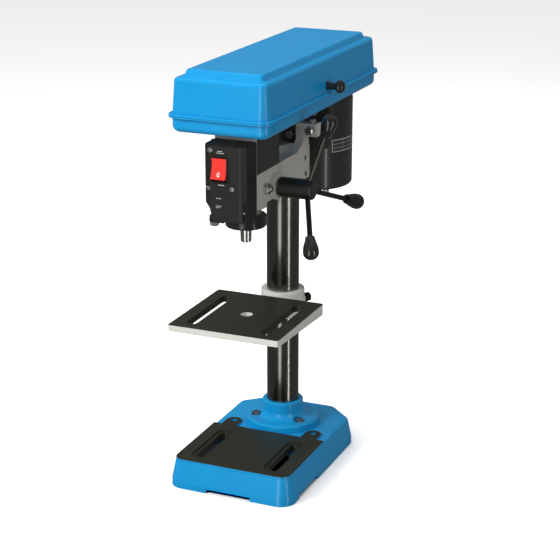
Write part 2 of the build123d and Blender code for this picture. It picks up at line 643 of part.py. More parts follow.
with BuildPart() as front_cover:
    with BuildSketch(Plane.XY.offset(COVER_BOTTOM)):
        add(cover_plan(0))
    extrude(amount=COVER_TOP - COVER_BOTTOM)
    fillet(front_cover.faces().sort_by(Axis.Z)[-1].edges().filter_by(lambda e: e.center().Y < HEAD_FRONT - 1), 2)
    # the lower left corner is swept in beside the depth rod
    with BuildSketch(FRONT_PLANE):
        with BuildLine():
            Line((-COVER_HALF - 1, COVER_BOTTOM + 24), (-COVER_HALF - 1, COVER_BOTTOM - 1))
            Line((-COVER_HALF - 1, COVER_BOTTOM - 1), (-COVER_HALF + 13, COVER_BOTTOM - 1))
            Line((-COVER_HALF + 13, COVER_BOTTOM - 1), (-COVER_HALF + 10, COVER_BOTTOM + 14))
            ThreePointArc(
                (-COVER_HALF + 10, COVER_BOTTOM + 14),
                (-COVER_HALF + 6, COVER_BOTTOM + 21),
                (-COVER_HALF - 1, COVER_BOTTOM + 24),
            )
        make_face()
    extrude(amount=COVER_FRONT - HEAD_FRONT, mode=Mode.SUBTRACT)
    with BuildSketch(Plane.XY.offset(COVER_BOTTOM + 26)):
        add(cover_plan(COVER_WALL))
    extrude(amount=COVER_TOP - COVER_WALL - COVER_BOTTOM - 26, mode=Mode.SUBTRACT)
    with BuildSketch(Plane.XY.offset(COVER_BOTTOM + COVER_WALL)):
        with Locations((7, COVER_FRONT + COVER_WALL)):
            Rectangle(2 * (COVER_HALF - 7 - COVER_WALL), HEAD_FRONT - COVER_FRONT, align=(Align.CENTER, Align.MIN))
    extrude(amount=24, mode=Mode.SUBTRACT)
    # posts behind the two screws
    with BuildSketch(FRONT_PLANE.offset(-COVER_WALL)):
        with Locations(*COVER_SCREWS):
            Circle(2 * COVER_SCREW_R)
    extrude(amount=COVER_FRONT - HEAD_FRONT + COVER_WALL)
    with BuildSketch(FRONT_PLANE):
        with Locations(*COVER_SCREWS):
            Circle(COVER_SCREW_R + FIT)
    extrude(amount=COVER_FRONT - HEAD_FRONT, mode=Mode.SUBTRACT)
    with BuildSketch(FRONT_PLANE):
        with Locations((SWITCH_X, SWITCH_Z)):
            Rectangle(2 * SWITCH_HALF + 2 + 2 * FIT, 2 * SWITCH_TALL + 2 + 2 * FIT)
    extrude(amount=-2 * COVER_WALL, mode=Mode.SUBTRACT)
front_cover.part.label = "front_cover"
export_step(front_cover.part, "parts/front_cover.step")

with BuildPart() as cover_screws:
    with Locations(FRONT_PLANE):
        with Locations(*COVER_SCREWS):
            add(pan_screw(3.5, 1.8, COVER_SCREW_R, HEAD_FRONT - COVER_FRONT - GAP))
cover_screws.part.label = "cover_screws"
export_step(cover_screws.part, "parts/cover_screws.step")

# ------------------------------------------------------------ rocker switch
SWITCH_DEPTH = 20.0
BEZEL = 2.0
BEZEL_PROUD = 1.8
ROCKER_HALF = SWITCH_HALF - GAP
ROCKER_TALL = 13.6
ROCKER_TILT = 10.0
ROCKER_Y = COVER_FRONT + 3.0
ROCKER_PIN_R = 1.4

with BuildPart() as switch_housing:
    with BuildSketch(FRONT_PLANE) as bezel_plan:
        with Locations((SWITCH_X, SWITCH_Z)):
            Rectangle(2 * (SWITCH_HALF + BEZEL), 2 * (SWITCH_TALL + BEZEL))
        fillet(bezel_plan.vertices(), 1.5)
    extrude(amount=BEZEL_PROUD)
    with BuildSketch(FRONT_PLANE):
        with Locations((SWITCH_X, SWITCH_Z)):
            Rectangle(2 * SWITCH_HALF + 2, 2 * SWITCH_TALL + 2)
    extrude(amount=-SWITCH_DEPTH)
    with BuildSketch(FRONT_PLANE.offset(BEZEL_PROUD)):
        with Locations((SWITCH_X, SWITCH_Z)):
            Rectangle(2 * SWITCH_HALF, 2 * SWITCH_TALL)
    extrude(amount=-BEZEL_PROUD - SWITCH_DEPTH + 3, mode=Mode.SUBTRACT)
    # the pin that the rocker turns on, from wall to wall
    with BuildSketch(Plane(origin=(SWITCH_X, ROCKER_Y, SWITCH_Z), z_dir=(1, 0, 0))):
        Circle(ROCKER_PIN_R)
    extrude(amount=SWITCH_HALF + 0.5, both=True)
switch_housing.part.label = "switch_housing"
export_step(switch_housing.part, "parts/switch_housing.step")

ROCKER_PLANE = Plane(
    origin=(SWITCH_X - ROCKER_HALF, ROCKER_Y, SWITCH_Z),
    x_dir=(0, -math.cos(math.radians(ROCKER_TILT)), math.sin(math.radians(ROCKER_TILT))),
    z_dir=(-1, 0, 0),
)
with BuildPart() as switch_rocker:
    with BuildSketch(ROCKER_PLANE) as rocker_side:
        with BuildLine():
            Polyline((7, ROCKER_TALL), (0, ROCKER_TALL - 1), (-5, 4), (-5, -4), (0, 1 - ROCKER_TALL), (7, -ROCKER_TALL))
            ThreePointArc((7, -ROCKER_TALL), (5, -ROCKER_TALL / 2), (4.6, 0))
            ThreePointArc((4.6, 0), (5, ROCKER_TALL / 2), (7, ROCKER_TALL))
        make_face()
        Circle(ROCKER_PIN_R + RUN, mode=Mode.SUBTRACT)
    extrude(amount=-2 * ROCKER_HALF)
switch_rocker.part.label = "switch_rocker"
export_step(switch_rocker.part, "parts/switch_rocker.step")

# -------------------------------------------------------------------- quill
RACK_PITCH = math.pi * RACK_MODULE
RACK_LINE = SPINDLE_Y + QUILL_R - RACK_MODULE
RACK_DEPTH = 1.25 * RACK_MODULE
BACKLASH = 0.15
PRESSURE_ANGLE = math.radians(20)
LOWER_BEARING_R = 17.5
LOWER_BEARING_HEIGHT = 10.0
UPPER_BEARING_R = 14.0
UPPER_BEARING_HEIGHT = 8.0
QUILL_LIP = 3.0
SPINDLE_FLANGE_R = 11.0
SPINDLE_LOWER_R = 8.5
SPINDLE_UPPER_R = 6.0
KEYWAY = 6.0

with BuildPart() as quill:
    with BuildSketch(Plane.XY.offset(QUILL_BOTTOM)):
        with Locations((0, SPINDLE_Y)):
            Circle(QUILL_R)
            Circle(SPINDLE_LOWER_R + 1.5, mode=Mode.SUBTRACT)
    extrude(amount=QUILL_TOP - QUILL_BOTTOM)
    with BuildSketch(Plane.XY.offset(QUILL_BOTTOM)):
        with Locations((0, SPINDLE_Y)):
            Circle(SPINDLE_FLANGE_R + 1)
    extrude(amount=QUILL_LIP, mode=Mode.SUBTRACT)
    with BuildSketch(Plane.XY.offset(QUILL_BOTTOM + QUILL_LIP)):
        with Locations((0, SPINDLE_Y)):
            Circle(LOWER_BEARING_R + FIT)
    extrude(amount=LOWER_BEARING_HEIGHT, mode=Mode.SUBTRACT)
    with BuildSketch(Plane.XY.offset(QUILL_TOP)):
        with Locations((0, SPINDLE_Y)):
            Circle(UPPER_BEARING_R + FIT)
    extrude(amount=-UPPER_BEARING_HEIGHT - 1, mode=Mode.SUBTRACT)
    # rack teeth cut across the rear of the quill
    with BuildSketch(Plane.YZ):
        for tooth in range(-2, 15):
            middle = FEED_Z + tooth * RACK_PITCH
            half = RACK_PITCH / 4 + BACKLASH / 2
            outer = half + 2 * RACK_MODULE * math.tan(PRESSURE_ANGLE)
            inner = half - RACK_DEPTH * math.tan(PRESSURE_ANGLE)
            with BuildLine():
                Polyline(
                    (RACK_LINE + 2 * RACK_MODULE, middle - outer),
                    (RACK_LINE + 2 * RACK_MODULE, middle + outer),
                    (RACK_LINE - RACK_DEPTH, middle + inner),
                    (RACK_LINE - RACK_DEPTH, middle - inner),
                    close=True,
                )
            make_face()
    extrude(amount=QUILL_R, both=True, mode=Mode.SUBTRACT)
    # keyway that the guide screw holds
    with BuildSketch(Plane.XY.offset(GUIDE_Z - KEYWAY)):
        with Locations((QUILL_R - 3, GUIDE_Y)):
            Rectangle(KEYWAY, KEYWAY, align=(Align.MIN, Align.CENTER))
    extrude(amount=QUILL_TOP - GUIDE_Z + KEYWAY, mode=Mode.SUBTRACT)
quill.part.label = "quill"
export_step(quill.part, "parts/quill.step")

# guide screw with its lock nut
GUIDE_POINT_R = 2.6
with BuildPart() as guide_screw:
    with BuildSketch(SIDE_PLANE.offset(HEAD_HALF + 10)):
        with Locations((GUIDE_Y, GUIDE_Z)):
            Circle(GUIDE_SCREW_R)
    extrude(amount=-(HEAD_HALF + 10 - QUILL_R - 1))
    chamfer(guide_screw.faces().sort_by(Axis.X)[-1].edges(), 0.6)
    with BuildSketch(SIDE_PLANE.offset(QUILL_R + 1)):
        with Locations((GUIDE_Y, GUIDE_Z)):
            Circle(GUIDE_POINT_R)
    extrude(amount=-3)
    with Locations(SIDE_PLANE.offset(HEAD_HALF)):
        with Locations((GUIDE_Y, GUIDE_Z)):
            add(hex_nut(13, 6.5, GUIDE_SCREW_R + FIT, 30))
guide_screw.part.label = "guide_screw"
export_step(guide_screw.part, "parts/guide_screw.step")

# ------------------------------------------------- quill collar and depth rod
COLLAR_R = 27.5
COLLAR_TOP = 385.0
LUG_Z = 376.0
LUG_R = 7.0
DEPTH_NUT = 5.0
DEPTH_NUT_ACROSS = 12.0
ROD_TOP = 487.0
STOP_NUTS_Z = 463.0
COLLAR_SCREW_ANGLE = 50.0
COLLAR_SCREW_R = 2.5
COLLAR_SCREW_PLANE = Plane(
    origin=(0, SPINDLE_Y, COLLAR_TOP - 8),
    z_dir=(math.cos(math.radians(COLLAR_SCREW_ANGLE)), math.sin(math.radians(COLLAR_SCREW_ANGLE)), 0),
)

with BuildPart() as quill_collar:
    with BuildSketch(Plane.XY.offset(QUILL_BOTTOM)):
        with Locations((0, SPINDLE_Y)):
            Circle(COLLAR_R)
    extrude(amount=COLLAR_TOP - QUILL_BOTTOM)
    chamfer(quill_collar.faces().sort_by(Axis.Z)[0].edges(), 1.5)
    chamfer(quill_collar.faces().sort_by(Axis.Z)[-1].edges(), 1)
    with BuildSketch(Plane.XY.offset(LUG_Z)):
        with Locations((DEPTH_ROD_X, DEPTH_ROD_Y)):
            Circle(LUG_R)
        with BuildLine():
            Polyline(
                (DEPTH_ROD_X, DEPTH_ROD_Y - LUG_R),
                (-QUILL_R, DEPTH_ROD_Y - LUG_R),
                (-QUILL_R, SPINDLE_Y - 2),
                (-COLLAR_R + 1, SPINDLE_Y - 2),
                (DEPTH_ROD_X, DEPTH_ROD_Y + LUG_R),
                close=True,
            )
        make_face()
    extrude(amount=COLLAR_TOP - 1 - LUG_Z)
    with BuildSketch(Plane.XY.offset(QUILL_BOTTOM)):
        with Locations((0, SPINDLE_Y)):
            Circle(QUILL_R + FIT)
        with Locations((DEPTH_ROD_X, DEPTH_ROD_Y)):
            Circle(DEPTH_ROD_R + FIT)
    extrude(amount=COLLAR_TOP - QUILL_BOTTOM, mode=Mode.SUBTRACT)
    with BuildSketch(COLLAR_SCREW_PLANE):
        Circle(COLLAR_SCREW_R + FIT)
    extrude(amount=COLLAR_R + 2, mode=Mode.SUBTRACT)
quill_collar.part.label = "quill_collar"
export_step(quill_collar.part, "parts/quill_collar.step")

with BuildPart() as collar_screw:
    with Locations(COLLAR_SCREW_PLANE.offset(COLLAR_R - 0.5)):
        add(socket_screw(COLLAR_SCREW_R, COLLAR_R - 0.5 - QUILL_R - FIT, 2.5))
collar_screw.part.label = "collar_screw"
export_step(collar_screw.part, "parts/collar_screw.step")

with BuildPart() as depth_rod:
    with BuildSketch(Plane.XY.offset(LUG_Z - DEPTH_NUT - 1.5)):
        with Locations((DEPTH_ROD_X, DEPTH_ROD_Y)):
            Circle(DEPTH_ROD_R)
    extrude(amount=ROD_TOP - LUG_Z + DEPTH_NUT + 1.5)
    chamfer(depth_rod.edges().filter_by(GeomType.CIRCLE), 0.6)
depth_rod.part.label = "depth_rod"
export_step(depth_rod.part, "parts/depth_rod.step")

with BuildPart() as depth_rod_nut:
    with Locations((DEPTH_ROD_X, DEPTH_ROD_Y, LUG_Z - DEPTH_NUT)):
        add(hex_nut(DEPTH_NUT_ACROSS, DEPTH_NUT, DEPTH_ROD_R + FIT))
depth_rod_nut.part.label = "depth_rod_nut"
export_step(depth_rod_nut.part, "parts/depth_rod_nut.step")

with BuildPart() as stop_nuts:
    with Locations(*[(DEPTH_ROD_X, DEPTH_ROD_Y, STOP_NUTS_Z + level * (DEPTH_NUT + 1)) for level in (0, 1)]):
        add(hex_nut(DEPTH_NUT_ACROSS, DEPTH_NUT, DEPTH_ROD_R + RUN))
stop_nuts.part.label = "stop_nuts"
export_step(stop_nuts.part, "parts/stop_nuts.step")

# ------------------------------------------------------ spindle and bearings
NOSE_BOTTOM = 347.0
NOSE_R = 7.87
NOSE_TIP_R = 7.3
SPINDLE_TOP = 571.0
SPLINE_BOTTOM = QUILL_TOP + 1
SPLINE_ROOT_R = 5.0
SPLINE_KEY = 2.6
SPLINES = 6


def spline_section(grow):
    """Splined section of the drive shaft, grown outwards by grow."""
    with BuildSketch() as section:
        Circle(SPLINE_ROOT_R + grow)
        with PolarLocations(0, SPLINES):
            Rectangle(SPINDLE_UPPER_R + grow, SPLINE_KEY + 2 * grow, align=(Align.MIN, Align.CENTER))
    return section.sketch


with BuildPart() as spindle:
    with BuildSketch(Plane.XZ):
        with BuildLine():
            Polyline(
                (0, NOSE_BOTTOM),
                (NOSE_TIP_R - 1, NOSE_BOTTOM),
                (NOSE_TIP_R, NOSE_BOTTOM + 1),
                (NOSE_R, QUILL_BOTTOM - GAP),
                (SPINDLE_FLANGE_R, QUILL_BOTTOM - GAP),
                (SPINDLE_FLANGE_R, QUILL_BOTTOM + QUILL_LIP),
                (SPINDLE_LOWER_R, QUILL_BOTTOM + QUILL_LIP),
                (SPINDLE_LOWER_R, QUILL_TOP - UPPER_BEARING_HEIGHT - 1),
                (SPINDLE_UPPER_R, QUILL_TOP - UPPER_BEARING_HEIGHT - 1),
                (SPINDLE_UPPER_R, SPLINE_BOTTOM),
                (0, SPLINE_BOTTOM),
                close=True,
            )
        make_face()
    revolve(axis=Axis.Z)
    with BuildSketch(Plane.XY.offset(SPLINE_BOTTOM)):
        add(spline_section(0))
    extrude(amount=SPINDLE_TOP - SPLINE_BOTTOM)
spindle.part = spindle.part.moved(Location((0, SPINDLE_Y, 0)))
spindle.part.label = "spindle"
export_step(spindle.part, "parts/spindle.step")


def ball_bearing(outer_r, bore_r, height):
    """Shielded ball bearing standing on the origin: two rings and the shields between them."""
    with BuildPart() as bearing:
        with BuildSketch():
            Circle(outer_r)
            Circle(bore_r, mode=Mode.SUBTRACT)
        extrude(amount=height)
        for level in (0, height):
            with BuildSketch(Plane.XY.offset(level)):
                Circle(bore_r + 0.78 * (outer_r - bore_r))
                Circle(bore_r + 0.22 * (outer_r - bore_r), mode=Mode.SUBTRACT)
            extrude(amount=0.5 if level == 0 else -0.5, mode=Mode.SUBTRACT)
    return bearing.part


with BuildPart() as quill_bearings:
    with Locations((0, SPINDLE_Y, QUILL_BOTTOM + QUILL_LIP)):
        add(ball_bearing(LOWER_BEARING_R, SPINDLE_LOWER_R + RUN, LOWER_BEARING_HEIGHT))
    with Locations((0, SPINDLE_Y, QUILL_TOP - UPPER_BEARING_HEIGHT - 1)):
        add(ball_bearing(UPPER_BEARING_R, SPINDLE_UPPER_R + RUN, UPPER_BEARING_HEIGHT))
quill_bearings.part.label = "quill_bearings"
export_step(quill_bearings.part, "parts/quill_bearings.step")

# --------------------------------------------------- feed shaft, hub and arms
HUB_IN = 38.0
HUB_OUT = 86.0
HUB_R = 13.5
STUB_R = 8.0
STUB_OUT = 79.0
CUP_STUD_R = 6.0
PINION_HALF = 12.0
CUP_OUT = 48.0
CUP_NUT_ACROSS = 18.0
CUP_NUT = 5.0
ARMS = 3
ARM_START_ANGLE = -21.4
ARM_TILT = 20.7
ARM_X = 76.0
ARM_R = 3.5
ARM_LENGTH = 113.0
KNOB_LENGTH = 32.0
KNOB_END = 10.0
ARM_IN_KNOB = 18.0
KNOB_R = 10.5
KNOB_NECK_R = 6.5


def pinion_section():
    """Involute pinion, with one tooth pointing towards the rack."""
    base_r = PINION_R * math.cos(PRESSURE_ANGLE)
    tip_r = PINION_R + RACK_MODULE - RUN
    half = math.pi / (2 * PINION_TEETH) + math.tan(PRESSURE_ANGLE) - PRESSURE_ANGLE
    half -= BACKLASH / (2 * PINION_R)
    root_r = PINION_R - 1.25 * RACK_MODULE
    roll_end = math.sqrt((tip_r / base_r) ** 2 - 1)
    flank = []
    for step in range(5):
        roll = roll_end * step / 4
        radius = base_r * math.sqrt(1 + roll**2)
        angle = half - (roll - math.atan(roll))
        flank.append((radius * math.cos(angle), radius * math.sin(angle)))
    mirrored = [(x, -y) for x, y in flank]
    start = (root_r * 0.9, root_r * 0.9 * math.tan(half * 0.9))
    with BuildSketch() as section:
        Circle(root_r)
        with PolarLocations(0, PINION_TEETH, start_angle=180):
            with BuildLine() as tooth:
                Line(start, flank[0])
                Spline(*flank)
                Line(flank[-1], mirrored[-1])
                Spline(*mirrored)
                Line(mirrored[0], (start[0], -start[1]))
                Line((start[0], -start[1]), start)
            add(make_face(tooth.line.edges(), mode=Mode.PRIVATE))
    return section.sketch


with BuildPart() as pinion_shaft:
    with BuildSketch(FEED_PLANE.offset(-PINION_HALF)):
        add(pinion_section())
    extrude(amount=2 * PINION_HALF)
    with BuildSketch(FEED_PLANE.offset(PINION_HALF)):
        Circle(PINION_BORE_R - RUN)
    extrude(amount=HUB_IN - PINION_HALF)
    with BuildSketch(FEED_PLANE.offset(HUB_IN)):
        Circle(STUB_R)
    extrude(amount=STUB_OUT - HUB_IN)
    with BuildSketch(FEED_PLANE.offset(-PINION_HALF)):
        Circle(PINION_BORE_R - RUN)
    extrude(amount=-(CUP_BOSS_OUT - PINION_HALF))
    with BuildSketch(FEED_PLANE.offset(-CUP_BOSS_OUT)):
        Circle(CUP_STUD_R)
    extrude(amount=-(CUP_OUT + 2 * CUP_NUT + 3 - CUP_BOSS_OUT))
pinion_shaft.part.label = "pinion_shaft"
export_step(pinion_shaft.part, "parts/pinion_shaft.step")

ARM_PLANES = []
for arm in range(ARMS):
    turn = math.radians(ARM_START_ANGLE + 360 / ARMS * arm)
    lean = math.radians(ARM_TILT)
    ARM_PLANES.append(
        Plane(
            origin=(ARM_X, PINION_Y, FEED_Z),
            x_dir=(0, -math.sin(turn), math.cos(turn)),
            z_dir=(math.sin(lean), math.cos(lean) * math.cos(turn), math.cos(lean) * math.sin(turn)),
        )
    )

with BuildPart() as feed_hub:
    with BuildSketch(FEED_PLANE.offset(HUB_IN)):
        Circle(HUB_R)
    extrude(amount=HUB_OUT - HUB_IN)
    chamfer(feed_hub.faces().sort_by(Axis.X)[0].edges(), 1)
    fillet(feed_hub.faces().sort_by(Axis.X)[-1].edges(), 3)
    with BuildSketch(FEED_PLANE.offset(HUB_IN)):
        Circle(STUB_R + FIT)
    extrude(amount=STUB_OUT + 0.5 - HUB_IN, mode=Mode.SUBTRACT)
    for arm_plane in ARM_PLANES:
        with BuildSketch(arm_plane.offset(STUB_R)):
            Circle(ARM_R + FIT)
        extrude(amount=2 * HUB_R, mode=Mode.SUBTRACT)
feed_hub.part.label = "feed_hub"
export_step(feed_hub.part, "parts/feed_hub.step")

ARM_SEAT = STUB_R + 2.5
with BuildPart() as feed_arms:
    for arm_plane in ARM_PLANES:
        with BuildSketch(arm_plane.offset(ARM_SEAT)):
            Circle(ARM_R)
        extrude(amount=ARM_LENGTH - KNOB_LENGTH + ARM_IN_KNOB - ARM_SEAT)
feed_arms.part.label = "feed_arms"
export_step(feed_arms.part, "parts/feed_arms.step")


def feed_knob():
    """Knob of a feed arm, standing where the arm would start."""
    neck = ARM_LENGTH - KNOB_LENGTH
    shoulder = ARM_LENGTH - KNOB_END
    with BuildPart() as knob:
        with BuildSketch(Plane.XZ):
            with BuildLine():
                Line((0, neck), (KNOB_NECK_R, neck))
                Spline((KNOB_NECK_R, neck), (KNOB_R, shoulder), tangents=((0.1, 1), (0, 1)))
                Spline((KNOB_R, shoulder), (0, ARM_LENGTH), tangents=((0, 1), (-1, 0)))
                Line((0, ARM_LENGTH), (0, neck))
            make_face()
        revolve(axis=Axis.Z)
        with BuildSketch(Plane.XY.offset(neck)):
            Circle(ARM_R + FIT)
        extrude(amount=ARM_IN_KNOB + 0.5, mode=Mode.SUBTRACT)
    return knob.part


with BuildPart() as feed_knobs:
    with Locations(*ARM_PLANES):
        add(feed_knob())
feed_knobs.part.label = "feed_knobs"
export_step(feed_knobs.part, "parts/feed_knobs.step")

# ------------------------------------------------ return spring and its cup
CUP_R = 21.0
CUP_WALL = 2.0
SPRING_TURNS = 4
SPRING_IN_R = 7.5
SPRING_OUT_R = 18.0
SPRING_THICK = 0.7

with BuildPart() as spring_cup:
    with BuildSketch(FEED_PLANE.offset(-CUP_OUT)):
        Circle(CUP_R)
    extrude(amount=CUP_OUT - CUP_BOSS_OUT)
    fillet(spring_cup.faces().sort_by(Axis.X)[0].edges(), 2)
    with BuildSketch(FEED_PLANE.offset(-CUP_OUT + CUP_WALL)):
        Circle(CUP_R - CUP_WALL)
    extrude(amount=CUP_OUT, mode=Mode.SUBTRACT)
    with BuildSketch(FEED_PLANE.offset(-CUP_OUT)):
        Circle(CUP_STUD_R + GAP)
    extrude(amount=CUP_WALL, mode=Mode.SUBTRACT)
    # notches round the rim, by which the spring is wound tighter
    with BuildSketch(FEED_PLANE.offset(-CUP_BOSS_OUT)):
        with PolarLocations(CUP_R, 4, start_angle=45):
            Circle(3)
    extrude(amount=-4, mode=Mode.SUBTRACT)
spring_cup.part.label = "spring_cup"
export_step(spring_cup.part, "parts/spring_cup.step")


def spiral_point(turn, shift):
    """Point on the flat spiral after so many turns, moved outwards by shift."""
    radius = SPRING_IN_R + (SPRING_OUT_R - SPRING_IN_R) * turn / SPRING_TURNS + shift
    angle = 2 * math.pi * turn
    return (radius * math.cos(angle), radius * math.sin(angle))


with BuildPart() as return_spring:
    with BuildSketch(FEED_PLANE.offset(-CUP_OUT + CUP_WALL + 1)):
        with BuildLine():
            inner_line = Spline(*[spiral_point(step / 12, 0) for step in range(12 * SPRING_TURNS + 1)])
            outer_line = Spline(*[spiral_point(step / 12, SPRING_THICK) for step in range(12 * SPRING_TURNS + 1)])
            Line(inner_line @ 0, outer_line @ 0)
            Line(inner_line @ 1, outer_line @ 1)
        make_face()
        # hook that catches the wall of the cup
        with Locations((SPRING_OUT_R, 0)):
            Rectangle(CUP_R - CUP_WALL - SPRING_OUT_R - FIT, 1.5, align=(Align.MIN, Align.CENTER))
    extrude(amount=CUP_OUT - CUP_WALL - 2 - CUP_BOSS_OUT)
return_spring.part.label = "return_spring"
export_step(return_spring.part, "parts/return_spring.step")

with BuildPart() as spring_cup_nuts:
    for level in (0, 1):
        with Locations(FEED_PLANE.offset(-CUP_OUT - GAP - CUP_NUT - level * (CUP_NUT + 0.2))):
            add(hex_nut(CUP_NUT_ACROSS, CUP_NUT, CUP_STUD_R + FIT))
spring_cup_nuts.part.label = "spring_cup_nuts"
export_step(spring_cup_nuts.part, "parts/spring_cup_nuts.step")

# ---------------------------------------------------------------- belt guard
GUARD_FILLET = 9.0
LID_SEAT = TRAY_RIM + GAP
LID_DRAFT = 4.0
LID_LEDGE_SIDE = 11.5
LID_LEDGE_END = 16.5
CROWN_CORNER = 8.0
CROWN_DRAFT = 25.0
SLEEVE_HOLE_R = 20.0
MOTOR_SLOT_R = 14.0
MOTOR_TRAVEL = 10.0


def guard_outline(grow):
    """Plan outline of the belt guard, grown outwards by grow."""
    with BuildSketch() as plan:
        with Locations((0, (GUARD_FRONT + GUARD_REAR) / 2)):
            Rectangle(2 * (GUARD_HALF + grow), GUARD_REAR - GUARD_FRONT + 2 * grow)
        fillet(plan.vertices(), GUARD_CORNER + grow)
    return plan.sketch


def pan_form(inset):
    """Solid form of the tray, moved in by inset."""
    with BuildPart() as form:
        with BuildSketch(Plane.XY.offset(TRAY_BOTTOM + inset)):
            add(guard_outline(-inset))
        extrude(amount=TRAY_RIM - TRAY_BOTTOM - inset)
        fillet(form.faces().sort_by(Axis.Z)[0].edges(), GUARD_FILLET - inset)
    return form.part


def lid_form(inset):
    """Solid form of the lid, moved in by inset: walls, a ledge round the top, and a raised crown."""
    with BuildPart() as form:
        with BuildSketch(Plane.XY.offset(LID_SEAT)):
            add(guard_outline(-inset))
        extrude(amount=LID_SHOULDER - LID_SEAT - inset, taper=LID_DRAFT)
        shoulder = form.faces().sort_by(Axis.Z)[-1].edges()
        fillet(shoulder, 6 - inset)
        with BuildSketch(Plane.XY.offset(LID_SHOULDER - inset)) as crown_plan:
            with Locations((0, (GUARD_FRONT + GUARD_REAR) / 2)):
                Rectangle(
                    2 * (GUARD_HALF - LID_LEDGE_SIDE - inset),
                    GUARD_REAR - GUARD_FRONT - 2 * (LID_LEDGE_END + inset),
                )
            fillet(crown_plan.vertices(), CROWN_CORNER - inset)
        extrude(amount=LID_CROWN - LID_SHOULDER, taper=CROWN_DRAFT)
        fillet(form.faces().sort_by(Axis.Z)[-1].edges(), 3.5 - inset)
        foot = form.edges().filter_by(lambda e: abs(e.center().Z - LID_SHOULDER + inset) < 0.1).filter_by(
            lambda e: abs(e.center().X) < GUARD_HALF - LID_LEDGE_SIDE - inset + 0.1
            and abs(e.center().Y - (GUARD_FRONT + GUARD_REAR) / 2) < (GUARD_REAR - GUARD_FRONT) / 2 - LID_LEDGE_END
        )
        fillet(foot, 2.5 + inset)
    return form.part


with BuildPart() as belt_tray:
    add(pan_form(0))
    with BuildSketch(Plane.XY.offset(TRAY_RIM - RIM_THICK)):
        add(guard_outline(RIM_OUT))
    extrude(amount=RIM_THICK)
    fillet(
        belt_tray.edges().filter_by(lambda e: abs(e.center().Z - TRAY_RIM + RIM_THICK) < 0.1).filter_by(
            lambda e: abs(e.center().X) > GUARD_HALF + 3 or not GUARD_FRONT - 3 < e.center().Y < GUARD_REAR + 3
            or e.geom_type == GeomType.CIRCLE and e.radius > GUARD_CORNER + 3
        ),
        1.2,
    )
    add(pan_form(SHEET), mode=Mode.SUBTRACT)
    with BuildSketch(Plane.XY.offset(TRAY_BOTTOM)):
        with Locations((0, SPINDLE_Y)):
            Circle(SLEEVE_HOLE_R)
        with Locations((0, MOTOR_Y - MOTOR_TRAVEL / 2)):
            SlotOverall(2 * MOTOR_SLOT_R + MOTOR_TRAVEL, 2 * MOTOR_SLOT_R, rotation=90)
        with Locations(*TOWER_SCREWS):
            Circle(TRAY_SCREW_R + FIT)
    extrude(amount=SHEET, mode=Mode.SUBTRACT)
belt_tray.part.label = "belt_tray"
export_step(belt_tray.part, "parts/belt_tray.step")

with BuildPart() as tray_screws:
    with Locations(*[(x, y, TRAY_BOTTOM + SHEET) for x, y in TOWER_SCREWS]):
        add(pan_screw(3.5, 2.0, TRAY_SCREW_R, 11))
tray_screws.part.label = "tray_screws"
export_step(tray_screws.part, "parts/tray_screws.step")

LID_KNOB_Y = -5.0
LID_KNOB_Z = 540.0
LID_KNOB_PLANE = Plane(origin=(0, LID_KNOB_Y, LID_KNOB_Z), x_dir=(0, 1, 0), z_dir=(1, 0, 0))
LID_KNOB_STUD = 3.0

with BuildPart() as lid:
    add(lid_form(0))
    with BuildSketch(Plane.XY.offset(LID_SEAT)):
        add(guard_outline(RIM_OUT))
    extrude(amount=RIM_THICK)
    fillet(
        lid.edges().filter_by(lambda e: abs(e.center().Z - LID_SEAT - RIM_THICK) < 0.1).filter_by(
            lambda e: abs(e.center().X) > GUARD_HALF + 3 or not GUARD_FRONT - 3 < e.center().Y < GUARD_REAR + 3
            or e.geom_type == GeomType.CIRCLE and e.radius > GUARD_CORNER + 3
        ),
        1.2,
    )
    add(lid_form(SHEET), mode=Mode.SUBTRACT)
    with BuildSketch(LID_KNOB_PLANE.offset(GUARD_HALF / 2)):
        Circle(LID_KNOB_STUD + FIT)
    extrude(amount=GUARD_HALF, mode=Mode.SUBTRACT)
lid.part.label = "lid"
export_step(lid.part, "parts/lid.step")

LID_WALL_X = GUARD_HALF - (LID_KNOB_Z - LID_SEAT) * math.tan(math.radians(LID_DRAFT))
with BuildPart() as lid_knob:
    with BuildSketch(Plane(origin=(0, LID_KNOB_Y, LID_KNOB_Z), x_dir=(1, 0, 0), z_dir=(0, -1, 0))):
        with BuildLine():
            Polyline(
                (LID_WALL_X - SHEET - 2, 0),
                (LID_WALL_X - SHEET - 2, LID_KNOB_STUD),
                (LID_WALL_X + 0.5, LID_KNOB_STUD),
                (LID_WALL_X + 0.5, 6.5),
                (LID_WALL_X + 3, 5),
                (LID_WALL_X + 12, 5),
                (LID_WALL_X + 15, 8),
            )
            Spline(
                (LID_WALL_X + 15, 8),
                (LID_WALL_X + 20, 8.2),
                (LID_WALL_X + 25, 0),
                tangents=((0.6, 0.5), (0, -1)),
            )
            Line((LID_WALL_X + 25, 0), (LID_WALL_X - SHEET - 2, 0))
        make_face()
    revolve(axis=Axis((0, LID_KNOB_Y, LID_KNOB_Z), (1, 0, 0)))
lid_knob.part.label = "lid_knob"
export_step(lid_knob.part, "parts/lid_knob.step")

# hinges on the left edge
HINGE_R = 3.2
HINGE_PIN_R = 1.5
HINGE_X = -(GUARD_HALF + RIM_OUT + HINGE_R + 0.4)
HINGE_Z = (TRAY_RIM + LID_SEAT) / 2
HINGE_LENGTH = 36.0
HINGE_YS = (-120.0, 95.0)
KNUCKLE = HINGE_LENGTH / 3
LEAF = 1.2
LEAF_IN = GUARD_HALF + 1.0
HINGE_PLANE = Plane(origin=(HINGE_X, 0, HINGE_Z), x_dir=(1, 0, 0), z_dir=(0, -1, 0))


